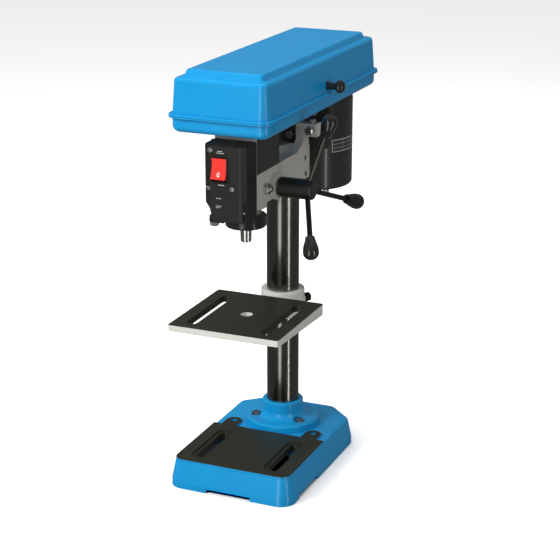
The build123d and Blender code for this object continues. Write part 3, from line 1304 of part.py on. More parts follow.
def knuckles(middles, length):
    """Hinge knuckles along the pin, centred at the given places."""
    with BuildPart() as barrels:
        for middle in middles:
            with BuildSketch(HINGE_PLANE.offset(-middle - length / 2)):
                Circle(HINGE_R)
            extrude(amount=length)
    return barrels.part


with BuildPart() as lid_hinge_leaves:
    with BuildSketch(Plane.XY.offset(LID_SEAT + RIM_THICK)):
        for hinge_y in HINGE_YS:
            with Locations(((HINGE_X - LEAF_IN) / 2, hinge_y)):
                Rectangle(-HINGE_X - LEAF_IN, KNUCKLE - 2 * GAP)
            with Locations((-(GUARD_HALF + RIM_OUT + LEAF_IN) / 2, hinge_y)):
                Rectangle(GUARD_HALF + RIM_OUT - LEAF_IN, HINGE_LENGTH)
    extrude(amount=LEAF)
    add(knuckles(HINGE_YS, KNUCKLE - 2 * GAP))
    with BuildSketch(HINGE_PLANE.offset(-HINGE_YS[1] - HINGE_LENGTH)):
        Circle(HINGE_PIN_R + RUN)
    extrude(amount=HINGE_YS[1] - HINGE_YS[0] + 2 * HINGE_LENGTH, mode=Mode.SUBTRACT)
lid_hinge_leaves.part.label = "lid_hinge_leaves"
export_step(lid_hinge_leaves.part, "parts/lid_hinge_leaves.step")

with BuildPart() as tray_hinge_leaves:
    with BuildSketch(Plane.XY.offset(TRAY_RIM - RIM_THICK)):
        for hinge_y in HINGE_YS:
            with Locations(*[((HINGE_X - LEAF_IN) / 2, hinge_y + side * KNUCKLE) for side in (-1, 1)]):
                Rectangle(-HINGE_X - LEAF_IN, KNUCKLE)
            with Locations((-(GUARD_HALF + RIM_OUT + LEAF_IN) / 2, hinge_y)):
                Rectangle(GUARD_HALF + RIM_OUT - LEAF_IN, HINGE_LENGTH)
    extrude(amount=-LEAF)
    add(knuckles([hinge_y + side * KNUCKLE for hinge_y in HINGE_YS for side in (-1, 1)], KNUCKLE))
    with BuildSketch(HINGE_PLANE.offset(-HINGE_YS[1] - HINGE_LENGTH)):
        Circle(HINGE_PIN_R + FIT)
    extrude(amount=HINGE_YS[1] - HINGE_YS[0] + 2 * HINGE_LENGTH, mode=Mode.SUBTRACT)
tray_hinge_leaves.part.label = "tray_hinge_leaves"
export_step(tray_hinge_leaves.part, "parts/tray_hinge_leaves.step")

with BuildPart() as hinge_pins:
    for hinge_y in HINGE_YS:
        with BuildSketch(HINGE_PLANE.offset(-hinge_y - HINGE_LENGTH / 2)):
            Circle(HINGE_PIN_R)
        extrude(amount=HINGE_LENGTH)
hinge_pins.part.label = "hinge_pins"
export_step(hinge_pins.part, "parts/hinge_pins.step")

# --------------------------------------------------------- pulleys and belt
PULLEY_TOP = PULLEY_BOTTOM + STEP_HEIGHT * len(STEP_RADII)
GROOVE_DEPTH = 6.0
GROOVE_OUTER = 9.0
GROOVE_INNER = 5.6
BELT_GAP = 0.35
BELT_STEP = 2
BELT_THICK = 5.0
SLEEVE_THREAD_R = 7.0
SLEEVE_TOP = PULLEY_TOP + 9.0


def pulley_section(radii, bore_r):
    """Half section of a five-step pulley, radii from the bottom step up."""
    points = [(bore_r, PULLEY_BOTTOM)]
    for step, radius in enumerate(radii):
        low = PULLEY_BOTTOM + step * STEP_HEIGHT
        middle = low + STEP_HEIGHT / 2
        points += [
            (radius, low),
            (radius, middle - GROOVE_OUTER / 2),
            (radius - GROOVE_DEPTH, middle - GROOVE_INNER / 2),
            (radius - GROOVE_DEPTH, middle + GROOVE_INNER / 2),
            (radius, middle + GROOVE_OUTER / 2),
            (radius, low + STEP_HEIGHT),
        ]
    points.append((bore_r, PULLEY_TOP))
    with BuildSketch() as section:
        with BuildLine():
            Polyline(*points, close=True)
        make_face()
    return section.sketch


with BuildPart() as spindle_pulley:
    with BuildSketch(Plane.XZ):
        add(pulley_section(STEP_RADII, SLEEVE_R + FIT))
    revolve(axis=Axis.Z)
spindle_pulley.part = spindle_pulley.part.moved(Location((0, SPINDLE_Y, 0)))
spindle_pulley.part.label = "spindle_pulley"
export_step(spindle_pulley.part, "parts/spindle_pulley.step")

with BuildPart() as motor_pulley:
    with BuildSketch(Plane.XZ):
        add(pulley_section(STEP_RADII[::-1], MOTOR_SHAFT_R + FIT))
    revolve(axis=Axis.Z)
    with BuildSketch(Plane.XZ):
        with Locations((0, PULLEY_BOTTOM + STEP_HEIGHT / 2)):
            Circle(2.5 + FIT)
    extrude(amount=STEP_RADII[0], mode=Mode.SUBTRACT)
motor_pulley.part = motor_pulley.part.moved(Location((0, MOTOR_Y, 0)))
motor_pulley.part.label = "motor_pulley"
export_step(motor_pulley.part, "parts/motor_pulley.step")

with BuildPart() as pulley_set_screw:
    with Locations(Plane(origin=(0, MOTOR_Y - 19, PULLEY_BOTTOM + STEP_HEIGHT / 2), z_dir=(0, -1, 0))):
        add(socket_screw(2.5, 19 - MOTOR_SHAFT_R - 0.1, 2.5))
pulley_set_screw.part.label = "pulley_set_screw"
export_step(pulley_set_screw.part, "parts/pulley_set_screw.step")

BELT_R = STEP_RADII[BELT_STEP] - GROOVE_DEPTH + BELT_GAP
BELT_Z = PULLEY_BOTTOM + (BELT_STEP + 0.5) * STEP_HEIGHT
SLOPE = (GROOVE_OUTER - GROOVE_INNER) / 2 / GROOVE_DEPTH


def belt_section(centre):
    """V section of the belt, on the side away from +X of the given centre."""
    inner = GROOVE_INNER / 2 - BELT_GAP
    outer = inner + SLOPE * BELT_THICK
    with BuildSketch() as section:
        with BuildLine():
            Polyline(
                (centre + BELT_R, BELT_Z - inner),
                (centre + BELT_R, BELT_Z + inner),
                (centre + BELT_R + BELT_THICK, BELT_Z + outer),
                (centre + BELT_R + BELT_THICK, BELT_Z - outer),
                close=True,
            )
        make_face()
    return section.sketch


with BuildPart() as belt:
    for hub_y, spin in ((SPINDLE_Y, -180), (MOTOR_Y, 180)):
        with BuildSketch(Plane(origin=(0, hub_y, 0), x_dir=(1, 0, 0), z_dir=(0, -1, 0))):
            add(belt_section(0))
        revolve(axis=Axis((0, hub_y, 0), (0, 0, 1)), revolution_arc=spin)
    for side in (1, -1):
        with BuildSketch(Plane(origin=(0, SPINDLE_Y, 0), x_dir=(side, 0, 0), z_dir=(0, -side, 0))):
            add(belt_section(0))
        extrude(amount=-side * (MOTOR_Y - SPINDLE_Y))
belt.part.label = "belt"
export_step(belt.part, "parts/belt.step")

# drive sleeve, which turns the splined spindle
with BuildPart() as drive_sleeve:
    with BuildSketch(Plane.XZ):
        with BuildLine():
            Polyline(
                (0, BEARING_SHELF),
                (SLEEVE_R, BEARING_SHELF),
                (SLEEVE_R, TRAY_BOTTOM + SHEET),
                (SLEEVE_R + 4, TRAY_BOTTOM + SHEET),
                (SLEEVE_R + 4, PULLEY_BOTTOM),
                (SLEEVE_R, PULLEY_BOTTOM),
                (SLEEVE_R, PULLEY_TOP),
                (SLEEVE_THREAD_R, PULLEY_TOP),
                (SLEEVE_THREAD_R, SLEEVE_TOP),
                (0, SLEEVE_TOP),
                close=True,
            )
        make_face()
    revolve(axis=Axis.Z)
    with BuildSketch(Plane.XY.offset(BEARING_SHELF)):
        add(spline_section(0.1))
    extrude(amount=SLEEVE_TOP - BEARING_SHELF, mode=Mode.SUBTRACT)
drive_sleeve.part = drive_sleeve.part.moved(Location((0, SPINDLE_Y, 0)))
drive_sleeve.part.label = "drive_sleeve"
export_step(drive_sleeve.part, "parts/drive_sleeve.step")

with BuildPart() as sleeve_bearings:
    with Locations((0, SPINDLE_Y, BEARING_SHELF), (0, SPINDLE_Y, TRAY_BOTTOM - 10.5)):
        add(ball_bearing(SLEEVE_BEARING_R, SLEEVE_R + RUN, 10))
sleeve_bearings.part.label = "sleeve_bearings"
export_step(sleeve_bearings.part, "parts/sleeve_bearings.step")

with BuildPart() as pulley_nut:
    with Locations((0, SPINDLE_Y, PULLEY_TOP)):
        add(hex_nut(22, 7, SLEEVE_THREAD_R + FIT))
pulley_nut.part.label = "pulley_nut"
export_step(pulley_nut.part, "parts/pulley_nut.step")

# -------------------------------------------------------------------- motor
SHELL_WALL = 2.5
SHELL_BOTTOM = 381.0
SHELL_TOP = 497.0
BOLT_CIRCLE = 50.5
THROUGH_BOLT_R = 2.0
PLATE_FRONT = 46.0
PLATE_THICK = 5.0
PLATE_HALF = 52.0
PLATE_BOTTOM = 440.0
PLATE_TOP = 500.0
PAD_HALF = 38.0
BEARING_R = 17.5
BEARING_HEIGHT = 11.0
BOSS_R = 21.0
MOTOR_BOLTS = ((-28.0, 491.0), (28.0, 491.0), (-9.0, 456.0), (9.0, 456.0))
MOTOR_BOLT_R = 3.0
PLATE_REAR = PLATE_FRONT + PLATE_THICK
PLATE_PLANE = Plane(origin=(0, PLATE_FRONT, 0), x_dir=(1, 0, 0), z_dir=(0, -1, 0))
CORE_BOTTOM = 416.0
CORE_TOP = 468.0
COIL = 10.0
COIL_OUTER_R = 44.0
COIL_INNER_R = 29.0
STATOR_BORE_R = 26.0
ROTOR_R = 25.4
THROUGH_BOLT_NUT = 3.5

with BuildPart() as motor_shell:
    with BuildSketch(Plane.XY.offset(SHELL_BOTTOM)):
        with Locations((0, MOTOR_Y)):
            Circle(MOTOR_R)
    extrude(amount=SHELL_TOP - SHELL_BOTTOM)
    with BuildSketch(Plane.XY.offset(PLATE_BOTTOM + 3)):
        with Locations((0, PLATE_REAR)):
            Rectangle(2 * PAD_HALF, 30, align=(Align.CENTER, Align.MIN))
    extrude(amount=SHELL_TOP - PLATE_BOTTOM - 3)
    with BuildSketch(Plane.XY.offset(SHELL_BOTTOM)):
        with Locations((0, MOTOR_Y)):
            Circle(MOTOR_R - SHELL_WALL)
    extrude(amount=SHELL_TOP - SHELL_BOTTOM, mode=Mode.SUBTRACT)
    with BuildSketch(PLATE_PLANE.offset(-PLATE_THICK)):
        with Locations(*MOTOR_BOLTS):
            Circle(MOTOR_BOLT_R + FIT)
    extrude(amount=-20, mode=Mode.SUBTRACT)
motor_shell.part.label = "motor_shell"
export_step(motor_shell.part, "parts/motor_shell.step")


def end_bell(outer, inner, boss_end):
    """End bell of the motor: cap from outer to inner height, bearing boss to boss_end."""
    inward = 1 if boss_end > outer else -1
    with BuildPart() as bell:
        with BuildSketch(Plane.XY.offset(outer)):
            with Locations((0, MOTOR_Y)):
                Circle(MOTOR_R)
        extrude(amount=inner - outer)
        fillet(bell.faces().sort_by(Axis.Z)[0 if inward > 0 else -1].edges(), 5)
        with BuildSketch(Plane.XY.offset(inner)):
            with Locations((0, MOTOR_Y)):
                Circle(BOSS_R)
        extrude(amount=boss_end - inner)
        with BuildSketch(Plane.XY.offset(boss_end)):
            with Locations((0, MOTOR_Y)):
                Circle(BEARING_R + FIT)
        extrude(amount=-inward * BEARING_HEIGHT, mode=Mode.SUBTRACT)
        with BuildSketch(Plane.XY.offset(outer)):
            with Locations((0, MOTOR_Y)):
                Circle(MOTOR_SHAFT_R + 2)
                with PolarLocations(BOLT_CIRCLE, 4, start_angle=45):
                    Circle(THROUGH_BOLT_R + FIT)
            # cooling slots round the bearing
            with Locations((0, MOTOR_Y)):
                with PolarLocations(34, 12, start_angle=15):
                    SlotOverall(17, 5)
        extrude(amount=inner - outer, mode=Mode.SUBTRACT)
    return bell.part


with BuildPart() as motor_end_bells:
    add(end_bell(MOTOR_BOTTOM, SHELL_BOTTOM, SHELL_BOTTOM + BEARING_HEIGHT - 2))
    add(end_bell(MOTOR_TOP, SHELL_TOP, SHELL_TOP - BEARING_HEIGHT + 2))
motor_end_bells.part.label = "motor_end_bells"
export_step(motor_end_bells.part, "parts/motor_end_bells.step")

with BuildPart() as motor_through_bolts:
    with Locations(Plane.XY.offset(MOTOR_TOP)):
        with Locations((0, MOTOR_Y)):
            with PolarLocations(BOLT_CIRCLE, 4, start_angle=45):
                add(hex_bolt(7, 2.5, THROUGH_BOLT_R, MOTOR_TOP - MOTOR_BOTTOM + 5))
    with Locations(Plane.XY.offset(MOTOR_BOTTOM - THROUGH_BOLT_NUT)):
        with Locations((0, MOTOR_Y)):
            with PolarLocations(BOLT_CIRCLE, 4, start_angle=45):
                add(hex_nut(7, THROUGH_BOLT_NUT, THROUGH_BOLT_R + FIT))
motor_through_bolts.part.label = "motor_through_bolts"
export_step(motor_through_bolts.part, "parts/motor_through_bolts.step")

with BuildPart() as motor_bearings:
    with Locations((0, MOTOR_Y, SHELL_BOTTOM - 2), (0, MOTOR_Y, SHELL_TOP + 2 - BEARING_HEIGHT)):
        add(ball_bearing(BEARING_R, MOTOR_SHAFT_R + RUN, BEARING_HEIGHT))
motor_bearings.part.label = "motor_bearings"
export_step(motor_bearings.part, "parts/motor_bearings.step")

with BuildPart() as motor_stator:
    with BuildSketch(Plane.XY.offset(CORE_BOTTOM)):
        with Locations((0, MOTOR_Y)):
            Circle(MOTOR_R - SHELL_WALL - FIT)
            Circle(STATOR_BORE_R, mode=Mode.SUBTRACT)
            with PolarLocations(BOLT_CIRCLE, 4, start_angle=45):
                Circle(THROUGH_BOLT_R + 1.5, mode=Mode.SUBTRACT)
    extrude(amount=CORE_TOP - CORE_BOTTOM)
    with BuildSketch(Plane.XY.offset(CORE_BOTTOM - COIL)):
        with Locations((0, MOTOR_Y)):
            Circle(COIL_OUTER_R)
            Circle(COIL_INNER_R, mode=Mode.SUBTRACT)
    extrude(amount=CORE_TOP - CORE_BOTTOM + 2 * COIL)
motor_stator.part.label = "motor_stator"
export_step(motor_stator.part, "parts/motor_stator.step")

with BuildPart() as motor_rotor:
    with BuildSketch(Plane.XY.offset(CORE_BOTTOM)):
        with Locations((0, MOTOR_Y)):
            Circle(ROTOR_R)
            Circle(MOTOR_SHAFT_R + FIT, mode=Mode.SUBTRACT)
    extrude(amount=CORE_TOP - CORE_BOTTOM)
motor_rotor.part.label = "motor_rotor"
export_step(motor_rotor.part, "parts/motor_rotor.step")

with BuildPart() as motor_shaft:
    with BuildSketch(Plane.XY.offset(MOTOR_BOTTOM + 2)):
        with Locations((0, MOTOR_Y)):
            Circle(MOTOR_SHAFT_R)
    extrude(amount=PULLEY_TOP + 1 - MOTOR_BOTTOM - 2)
    chamfer(motor_shaft.edges().filter_by(GeomType.CIRCLE), 0.8)
motor_shaft.part.label = "motor_shaft"
export_step(motor_shaft.part, "parts/motor_shaft.step")

FAN_BOTTOM = SHELL_BOTTOM + BEARING_HEIGHT + 1
FAN_R = 40.0
FAN_HUB_R = 12.0
FAN_BLADE = 9.0
FAN_DISC = 1.5
with BuildPart() as motor_fan:
    with BuildSketch(Plane.XY.offset(FAN_BOTTOM)):
        with Locations((0, MOTOR_Y)):
            Circle(FAN_HUB_R)
            with PolarLocations(0, 9):
                Rectangle(FAN_R, 1.8, align=(Align.MIN, Align.CENTER))
            Circle(MOTOR_SHAFT_R + FIT, mode=Mode.SUBTRACT)
    extrude(amount=FAN_BLADE)
    with BuildSketch(Plane.XY.offset(FAN_BOTTOM + FAN_BLADE)):
        with Locations((0, MOTOR_Y)):
            Circle(FAN_R)
            Circle(MOTOR_SHAFT_R + FIT, mode=Mode.SUBTRACT)
    extrude(amount=FAN_DISC)
motor_fan.part.label = "motor_fan"
export_step(motor_fan.part, "parts/motor_fan.step")

# rating plate, bent round the right side of the shell and left blank
LABEL_FROM = -40.0
LABEL_SWEEP = 44.0
LABEL_BOTTOM = 428.0
LABEL_HEIGHT = 18.0
with BuildPart() as rating_plate:
    with BuildSketch(Plane(origin=(0, MOTOR_Y, 0), x_dir=(1, 0, 0), z_dir=(0, -1, 0))):
        with Locations((MOTOR_R + FIT, LABEL_BOTTOM)):
            Rectangle(0.6, LABEL_HEIGHT, align=(Align.MIN, Align.MIN))
    revolve(axis=Axis((0, MOTOR_Y, 0), (0, 0, 1)), revolution_arc=LABEL_SWEEP)
rating_plate.part = rating_plate.part.rotate(Axis((0, MOTOR_Y, 0), (0, 0, 1)), LABEL_FROM)
rating_plate.part.label = "rating_plate"
export_step(rating_plate.part, "parts/rating_plate.step")

# --------------------------------------------------- motor plate and its rods
with BuildPart() as motor_plate:
    with BuildSketch(PLATE_PLANE) as plate_face:
        with Locations((0, (PLATE_BOTTOM + PLATE_TOP) / 2)):
            Rectangle(2 * PLATE_HALF, PLATE_TOP - PLATE_BOTTOM)
        fillet(plate_face.vertices(), 6)
        with Locations(*MOTOR_BOLTS):
            Circle(MOTOR_BOLT_R + FIT, mode=Mode.SUBTRACT)
        with Locations((ROD_X, ROD_Z), (-ROD_X, ROD_Z)):
            Circle(ROD_R + FIT, mode=Mode.SUBTRACT)
    extrude(amount=-PLATE_THICK)
motor_plate.part.label = "motor_plate"
export_step(motor_plate.part, "parts/motor_plate.step")

ROD_FRONT = -4.0
with BuildPart() as slide_rods:
    with BuildSketch(PLATE_PLANE.offset(-PLATE_THICK)):
        with Locations((ROD_X, ROD_Z), (-ROD_X, ROD_Z)):
            Circle(ROD_R)
    extrude(amount=PLATE_REAR - ROD_FRONT)
    chamfer(slide_rods.edges().group_by(Axis.Y)[0], 1)
slide_rods.part.label = "slide_rods"
export_step(slide_rods.part, "parts/slide_rods.step")

with BuildPart() as motor_bolts:
    with Locations(PLATE_PLANE):
        with Locations(*MOTOR_BOLTS):
            add(hex_bolt(10, 4, MOTOR_BOLT_R, PLATE_THICK + SHELL_WALL))
motor_bolts.part.label = "motor_bolts"
export_step(motor_bolts.part, "parts/motor_bolts.step")

# ---------------------------------------------------- cable inlet of the head
GLAND_PLANE = Plane(origin=(-HEAD_HALF, -58, 428), x_dir=(0, -1, 0), z_dir=(-1, 0, 0))
with BuildPart() as cable_gland:
    with BuildSketch(GLAND_PLANE):
        RegularPolygon(9, 6, major_radius=False)
    extrude(amount=5)
    with BuildSketch(GLAND_PLANE.offset(5)):
        Circle(7.5)
    extrude(amount=9, taper=8)
    with BuildSketch(GLAND_PLANE.offset(14)):
        Circle(3.8)
    extrude(amount=-14, mode=Mode.SUBTRACT)
cable_gland.part.label = "cable_gland"
export_step(cable_gland.part, "parts/cable_gland.step")
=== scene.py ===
import math

import bmesh
import bpy
from mathutils import Matrix, Vector


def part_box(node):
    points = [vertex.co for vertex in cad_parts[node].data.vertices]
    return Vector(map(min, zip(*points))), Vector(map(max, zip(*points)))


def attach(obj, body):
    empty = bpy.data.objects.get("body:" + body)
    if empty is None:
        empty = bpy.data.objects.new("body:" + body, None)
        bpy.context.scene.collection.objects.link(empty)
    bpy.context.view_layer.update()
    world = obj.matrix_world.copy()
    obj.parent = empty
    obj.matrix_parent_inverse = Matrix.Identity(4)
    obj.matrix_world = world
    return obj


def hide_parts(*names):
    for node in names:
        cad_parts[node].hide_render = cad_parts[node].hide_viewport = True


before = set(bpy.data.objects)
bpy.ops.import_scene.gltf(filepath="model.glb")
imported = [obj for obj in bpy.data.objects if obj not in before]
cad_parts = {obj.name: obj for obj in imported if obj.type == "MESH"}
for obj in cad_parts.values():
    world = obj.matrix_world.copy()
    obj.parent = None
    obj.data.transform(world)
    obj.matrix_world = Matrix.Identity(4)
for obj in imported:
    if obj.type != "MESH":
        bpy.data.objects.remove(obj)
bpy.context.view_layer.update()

# ------------------------------------------------------------ base casting
# The base is one grey-iron casting in glossy blue enamel.  Its front pad and the
# lobes round the bench holes are machined after painting and left dark; that near-black colour is partly
# the oiled iron's own and partly a painted dark reflection.
BLUE = (0.002, 0.290, 0.610)
BLUE_DEEP = (0.002, 0.255, 0.560)
BLUE_RUBBED = (0.25, 0.25, 0.24)
# near-black machined iron: partly the oiled iron's own colour, partly a painted dark reflection
MACHINED_DARK_AND_PAINTED_REFLECTION = (0.024, 0.026, 0.017)
MACHINED_LIGHT_AND_PAINTED_REFLECTION = (0.048, 0.050, 0.034)


def link(tree, source, target):
    """Joins two sockets of a node tree."""
    tree.links.new(source, target)


def add_node(tree, kind, **settings):
    """New node of a kind, with its settings and, by name or number, its inputs."""
    made = tree.nodes.new(kind)
    inputs = settings.pop("inputs", {})
    for key, value in settings.items():
        setattr(made, key, value)
    for key, value in inputs.items():
        made.inputs[key].default_value = value
    return made


def new_group(name, inputs, outputs):
    """Empty shader node group with float inputs, and outputs given as name and kind."""
    group = bpy.data.node_groups.new(name, "ShaderNodeTree")
    for label, value in inputs.items():
        socket = group.interface.new_socket(label, in_out="INPUT", socket_type="NodeSocketFloat")
        socket.default_value = value
    for label, kind in outputs.items():
        group.interface.new_socket(label, in_out="OUTPUT", socket_type="NodeSocket" + kind)
    return group, add_node(group, "NodeGroupInput"), add_node(group, "NodeGroupOutput")


def make_edge_wear():
    """Group: mask of rubbed edges, and the surface normal rounded over sharp edges."""
    group, source, result = new_group(
        "edge_wear",
        {"Radius": 0.0006, "Amount": 0.5, "Scale": 60.0},
        {"Mask": "Float", "Normal": "Vector"},
    )
    bevel = add_node(group, "ShaderNodeBevel", samples=4)
    surface = add_node(group, "ShaderNodeNewGeometry")
    turn = add_node(group, "ShaderNodeVectorMath", operation="DOT_PRODUCT")
    edge = add_node(group, "ShaderNodeMapRange", inputs={1: 0.985, 2: 0.86, 3: 0.0, 4: 1.0})
    place = add_node(group, "ShaderNodeTexCoord")
    noise = add_node(group, "ShaderNodeTexNoise", inputs={"Detail": 5.0, "Roughness": 0.7})
    patchy = add_node(group, "ShaderNodeMapRange", inputs={1: 0.46, 2: 0.62, 3: 0.0, 4: 1.0})
    rubbed = add_node(group, "ShaderNodeMath", operation="MULTIPLY")
    amount = add_node(group, "ShaderNodeMath", operation="MULTIPLY", use_clamp=True)
    link(group, source.outputs["Radius"], bevel.inputs["Radius"])
    link(group, bevel.outputs["Normal"], turn.inputs[0])
    link(group, surface.outputs["Normal"], turn.inputs[1])
    link(group, turn.outputs["Value"], edge.inputs[0])
    link(group, place.outputs["Object"], noise.inputs["Vector"])
    link(group, source.outputs["Scale"], noise.inputs["Scale"])
    link(group, noise.outputs[0], patchy.inputs[0])
    link(group, edge.outputs[0], rubbed.inputs[0])
    link(group, patchy.outputs[0], rubbed.inputs[1])
    link(group, rubbed.outputs[0], amount.inputs[0])
    link(group, source.outputs["Amount"], amount.inputs[1])
    link(group, amount.outputs[0], result.inputs["Mask"])
    link(group, bevel.outputs["Normal"], result.inputs["Normal"])
    return group


def make_grain():
    """Group: fine surface grain with a broader unevenness, along stretched axes."""
    group, source, result = new_group(
        "grain",
        {"Scale": 300.0, "Along X": 1.0, "Along Y": 1.0, "Along Z": 1.0, "Detail": 4.0},
        {"Fine": "Float", "Broad": "Float"},
    )
    place = add_node(group, "ShaderNodeTexCoord")
    stretch = add_node(group, "ShaderNodeCombineXYZ")
    scaled = add_node(group, "ShaderNodeVectorMath", operation="MULTIPLY")
    fine = add_node(group, "ShaderNodeTexNoise", inputs={"Roughness": 0.6})
    broad = add_node(group, "ShaderNodeTexNoise", inputs={"Scale": 22.0, "Detail": 3.0})
    link(group, place.outputs["Object"], scaled.inputs[0])
    for number, axis in enumerate("XYZ"):
        link(group, source.outputs["Along " + axis], stretch.inputs[number])
    link(group, stretch.outputs[0], scaled.inputs[1])
    link(group, scaled.outputs[0], fine.inputs["Vector"])
    link(group, source.outputs["Scale"], fine.inputs["Scale"])
    link(group, source.outputs["Detail"], fine.inputs["Detail"])
    link(group, place.outputs["Object"], broad.inputs["Vector"])
    link(group, fine.outputs[0], result.inputs["Fine"])
    link(group, broad.outputs[0], result.inputs["Broad"])
    return group


def make_dust():
    """Group: thin dust that settles on faces that look up."""
    group, source, result = new_group("dust", {"Amount": 0.2, "Scale": 90.0}, {"Mask": "Float"})
    place = add_node(group, "ShaderNodeTexCoord")
    split = add_node(group, "ShaderNodeSeparateXYZ")
    upward = add_node(group, "ShaderNodeMapRange", inputs={1: 0.55, 2: 1.0, 3: 0.0, 4: 1.0})
    noise = add_node(group, "ShaderNodeTexNoise", inputs={"Detail": 6.0, "Roughness": 0.75})
    patchy = add_node(group, "ShaderNodeMapRange", inputs={1: 0.4, 2: 0.75, 3: 0.0, 4: 1.0})
    lying = add_node(group, "ShaderNodeMath", operation="MULTIPLY")
    amount = add_node(group, "ShaderNodeMath", operation="MULTIPLY", use_clamp=True)
    link(group, place.outputs["Normal"], split.inputs[0])
    link(group, split.outputs["Z"], upward.inputs[0])
    link(group, place.outputs["Object"], noise.inputs["Vector"])
    link(group, source.outputs["Scale"], noise.inputs["Scale"])
    link(group, noise.outputs[0], patchy.inputs[0])
    link(group, upward.outputs[0], lying.inputs[0])
    link(group, patchy.outputs[0], lying.inputs[1])
    link(group, lying.outputs[0], amount.inputs[0])
    link(group, source.outputs["Amount"], amount.inputs[1])
    link(group, amount.outputs[0], result.inputs["Mask"])
    return group


EDGE_WEAR = make_edge_wear()
GRAIN = make_grain()
DUST = make_dust()
DUST_COLOUR = (0.42, 0.41, 0.38, 1.0)


def place_group(tree, group, **values):
    """Group node in a material, with its own values."""
    made = add_node(tree, "ShaderNodeGroup", node_tree=group)
    for label, value in values.items():
        made.inputs[label.replace("_", " ")].default_value = value
    return made


def mix_colour(tree, factor, first, second):
    """Mix of two colours, each a socket or a fixed colour."""
    made = add_node(tree, "ShaderNodeMix", data_type="RGBA")
    link(tree, factor, made.inputs[0])
    for socket, colour in ((made.inputs[6], first), (made.inputs[7], second)):
        if isinstance(colour, bpy.types.NodeSocket):
            link(tree, colour, socket)
        else:
            socket.default_value = (*colour[:3], 1.0)
    return made.outputs[2]


def mix_value(tree, factor, first, second):
    """Mix of two numbers, each a socket or a fixed number."""
    made = add_node(tree, "ShaderNodeMix", data_type="FLOAT")
    link(tree, factor, made.inputs[0])
    for socket, value in ((made.inputs[2], first), (made.inputs[3], second)):
        if isinstance(value, bpy.types.NodeSocket):
            link(tree, value, socket)
        else:
            socket.default_value = value
    return made.outputs[0]


def new_material(name, **constants):
    """Material with one Principled shader and its fixed values."""
    made = bpy.data.materials.new(name)
    made.use_nodes = True
    shader = made.node_tree.nodes["Principled BSDF"]
    for label, value in constants.items():
        shader.inputs[label.replace("_", " ")].default_value = value
    return made, made.node_tree, shader


def add_bump(tree, shader, height, normal, strength, distance):
    """Bump over the given normal, into the shader."""
    bump = add_node(tree, "ShaderNodeBump", inputs={"Strength": strength, "Distance": distance})
    link(tree, height, bump.inputs["Height"])
    if normal is not None:
        link(tree, normal, bump.inputs["Normal"])
    link(tree, bump.outputs[0], shader.inputs["Normal"])


def height_mask(tree, level, soft):
    """Mask of the part of a piece above a level, in metres."""
    place = add_node(tree, "ShaderNodeTexCoord")
    split = add_node(tree, "ShaderNodeSeparateXYZ")
    above = add_node(tree, "ShaderNodeMapRange", inputs={1: level - soft, 2: level, 3: 0.0, 4: 1.0})
    link(tree, place.outputs["Object"], split.inputs[0])
    link(tree, split.outputs["Z"], above.inputs[0])
    return above.outputs[0]


def block_mask(tree, across, along):
    """Mask of two upright blocks, left and right, each axis given as middle and half width."""
    place = add_node(tree, "ShaderNodeTexCoord")
    split = add_node(tree, "ShaderNodeSeparateXYZ")
    off_middle = add_node(tree, "ShaderNodeMath", operation="ABSOLUTE")
    in_x = add_node(tree, "ShaderNodeMath", operation="COMPARE", inputs={1: across[0], 2: across[1]})
    in_y = add_node(tree, "ShaderNodeMath", operation="COMPARE", inputs={1: along[0], 2: along[1]})
    both = add_node(tree, "ShaderNodeMath", operation="MULTIPLY")
    link(tree, place.outputs["Object"], split.inputs[0])
    link(tree, split.outputs["X"], off_middle.inputs[0])
    link(tree, off_middle.outputs[0], in_x.inputs[0])
    link(tree, split.outputs["Y"], in_y.inputs[0])
    link(tree, in_x.outputs[0], both.inputs[0])
    link(tree, in_y.outputs[0], both.inputs[1])
    return both.outputs[0]


def larger(tree, first, second):
    """Larger of two masks."""
    made = add_node(tree, "ShaderNodeMath", operation="MAXIMUM")
    link(tree, first, made.inputs[0])
    link(tree, second, made.inputs[1])
    return made.outputs[0]


